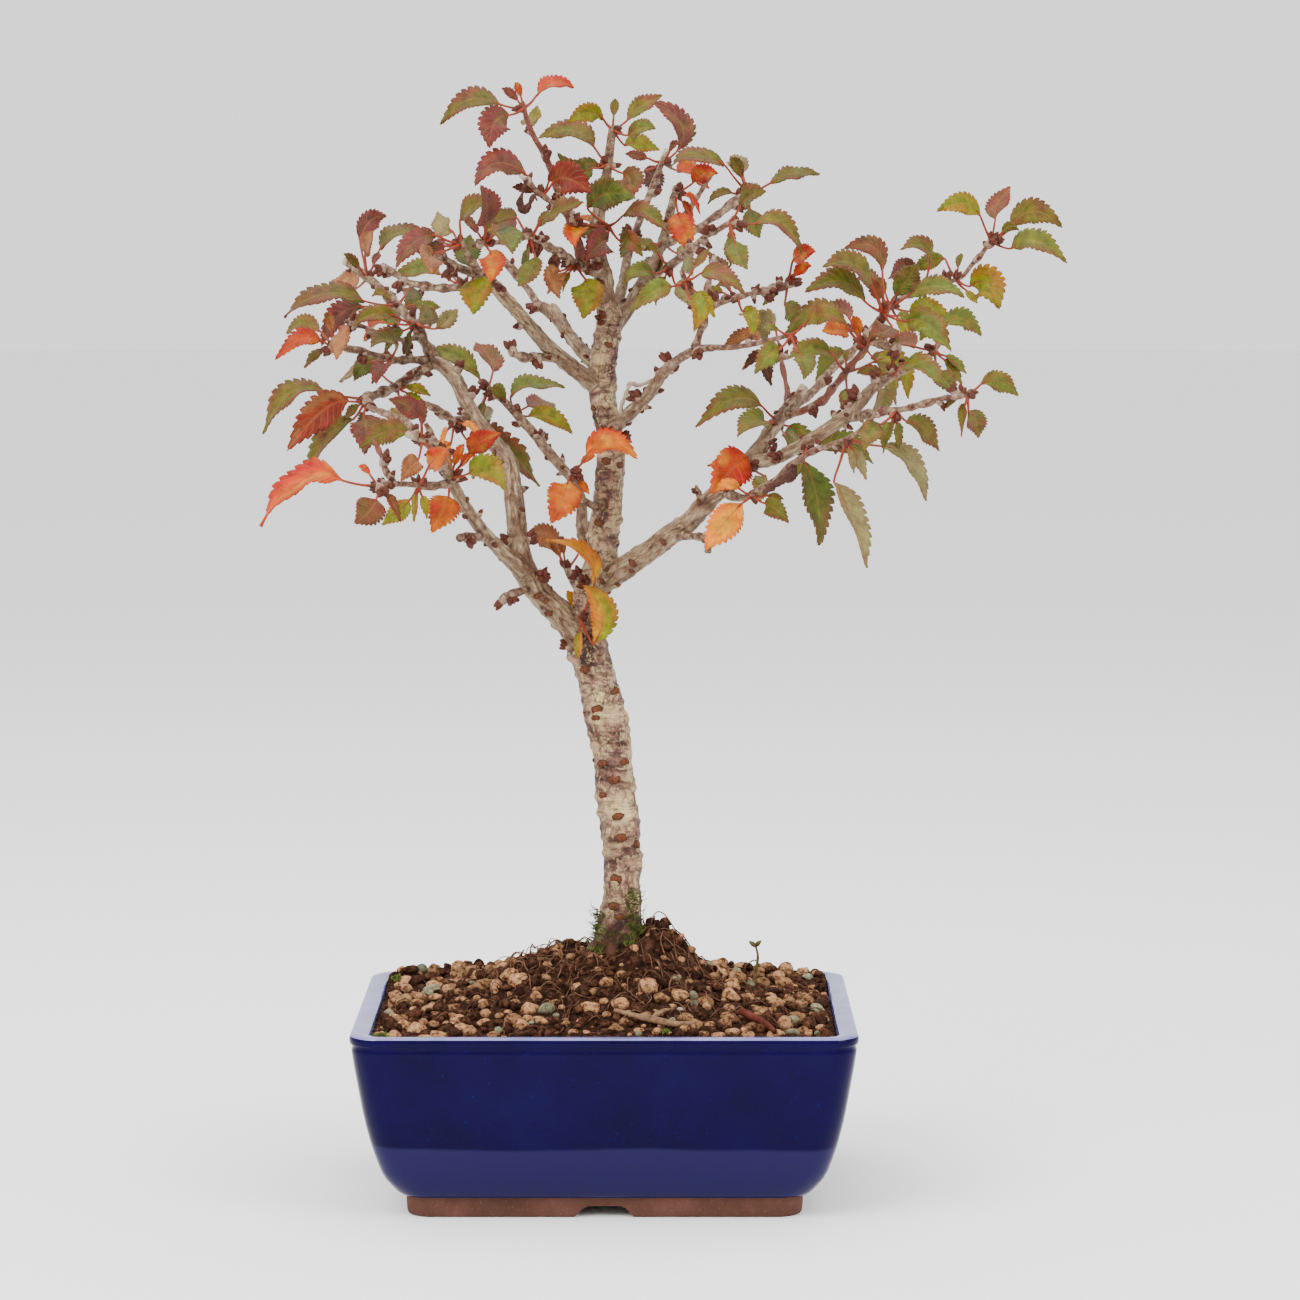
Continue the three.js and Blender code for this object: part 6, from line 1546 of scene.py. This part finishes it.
def drain_hole(x, clay):
    bm = bmesh.new()
    bmesh.ops.create_cone(bm, cap_ends=True, segments=32, radius1=DRAIN_RADIUS, radius2=DRAIN_RADIUS,
                          depth=0.03, matrix=Matrix.Translation(in_pot(x, 0, 5)))
    return object_of("drain_hole", bm, [clay])


# Stage: a white floor, soft lights and the camera of the photo.

FLOOR_RADIUS = 12


def build_stage():
    """A wide, round, white table."""
    bm = bmesh.new()
    bmesh.ops.create_circle(bm, cap_ends=True, segments=96, radius=FLOOR_RADIUS)
    paper = Finish("white_paper", 0.95, 0.05)
    paper.shader.inputs["Base Color"].default_value = (0.93, 0.93, 0.93, 1)
    object_of("white_floor", bm, [paper.material])


# Soft lights: name, place, point looked at, size, power.
LIGHTS = [["key_softbox", (-0.95, -0.95, 1.25), (0, 0, 0.24), 1.1, 34],
          ["fill_softbox", (1.15, -0.8, 0.9), (0, 0, 0.22), 0.9, 17],
          ["top_softbox", (0.0, 0.2, 1.7), (0, 0, 0.2), 1.4, 18]]


def build_lights():
    for name, place, target, size, power in LIGHTS:
        data = bpy.data.lights.new(name, "AREA")
        data.shape = "SQUARE"
        data.size = size
        data.energy = power
        lamp = bpy.data.objects.new(name, data)
        lamp.location = place
        lamp.rotation_euler = (Vector(target) - Vector(place)).to_track_quat("-Z", "Y").to_euler()
        bpy.context.collection.objects.link(lamp)
    world = bpy.data.worlds.new("studio")
    bpy.context.scene.world = world
    world.use_nodes = True
    sky = world.node_tree.nodes["Background"]
    sky.inputs["Color"].default_value = (1, 1, 1, 1)
    sky.inputs["Strength"].default_value = 1.5


def build_camera():
    data = bpy.data.cameras.new("photo_camera")
    data.lens = EYE_LENS
    data.sensor_width = 36
    camera = bpy.data.objects.new("photo_camera", data)
    camera.location = EYE * MM + POT_CENTRE
    camera.rotation_euler = (math.radians(90 - EYE_PITCH), 0, 0)
    bpy.context.collection.objects.link(camera)
    bpy.context.scene.camera = camera


def build_tree():
    wood = Wood()
    bark = bark_finish()
    bud = plain_finish("bud_scales", (0.028, 0.008, 0.005), (0.12, 0.032, 0.018), 700, 0.5)
    build_limbs(wood, bark)
    build_twigs(wood, bark)
    cork = plain_finish("scar_rim", (0.03, 0.012, 0.008), (0.1, 0.045, 0.026), 900)
    heart = plain_finish("scar_heart", (0.045, 0.013, 0.006), (0.17, 0.052, 0.02), 1100)
    build_scars(wood, [cork, heart])
    build_buds(wood, [bud, plain_finish("spur_bark", (0.1, 0.05, 0.032), (0.34, 0.24, 0.17), 500)])
    husk = plain_finish("withered_leaf", (0.02, 0.008, 0.006), (0.09, 0.035, 0.024), 500)
    build_withered(wood, [husk, plain_finish("dry_wood", (0.2, 0.14, 0.09), (0.46, 0.37, 0.27), 700)])
    stalk = plain_finish("leaf_stalk", (0.14, 0.016, 0.01), (0.26, 0.05, 0.02), 300, 0.45)
    build_sprays([leaf_finish(), stalk, bud])


def build_pot_and_soil():
    build_pot(glaze_finish(), rim_reflection_finish(), clay_finish())
    build_soil(soil_finish())
    pumice = grain_finish("pumice", (0.06, 0.022, 0.01), (0.3, 0.15, 0.072), (0.52, 0.33, 0.175))
    zeolite = grain_finish("zeolite", (0.08, 0.075, 0.045), (0.2, 0.195, 0.12), (0.32, 0.31, 0.22))
    lumps = grain_finish("dark_lumps", (0.012, 0.005, 0.003), (0.05, 0.02, 0.011), (0.14, 0.06, 0.032))
    build_grains([pumice, zeolite, lumps])
    build_fibres(plain_finish("rootlets", (0.03, 0.011, 0.006), (0.16, 0.075, 0.04), 300))
    twig = plain_finish("fallen_twig_bark", (0.04, 0.008, 0.005), (0.12, 0.025, 0.014), 300)
    root = plain_finish("dry_root", (0.07, 0.035, 0.018), (0.24, 0.14, 0.075), 400)
    sprout = plain_finish("wilted_sprout", (0.045, 0.028, 0.012), (0.12, 0.085, 0.03), 400)
    build_litter([twig, root, sprout])
    build_moss(plain_finish("moss", (0.02, 0.03, 0.006), (0.1, 0.13, 0.02), 500))


build_pot_and_soil()
build_tree()
build_stage()
build_lights()
build_camera()
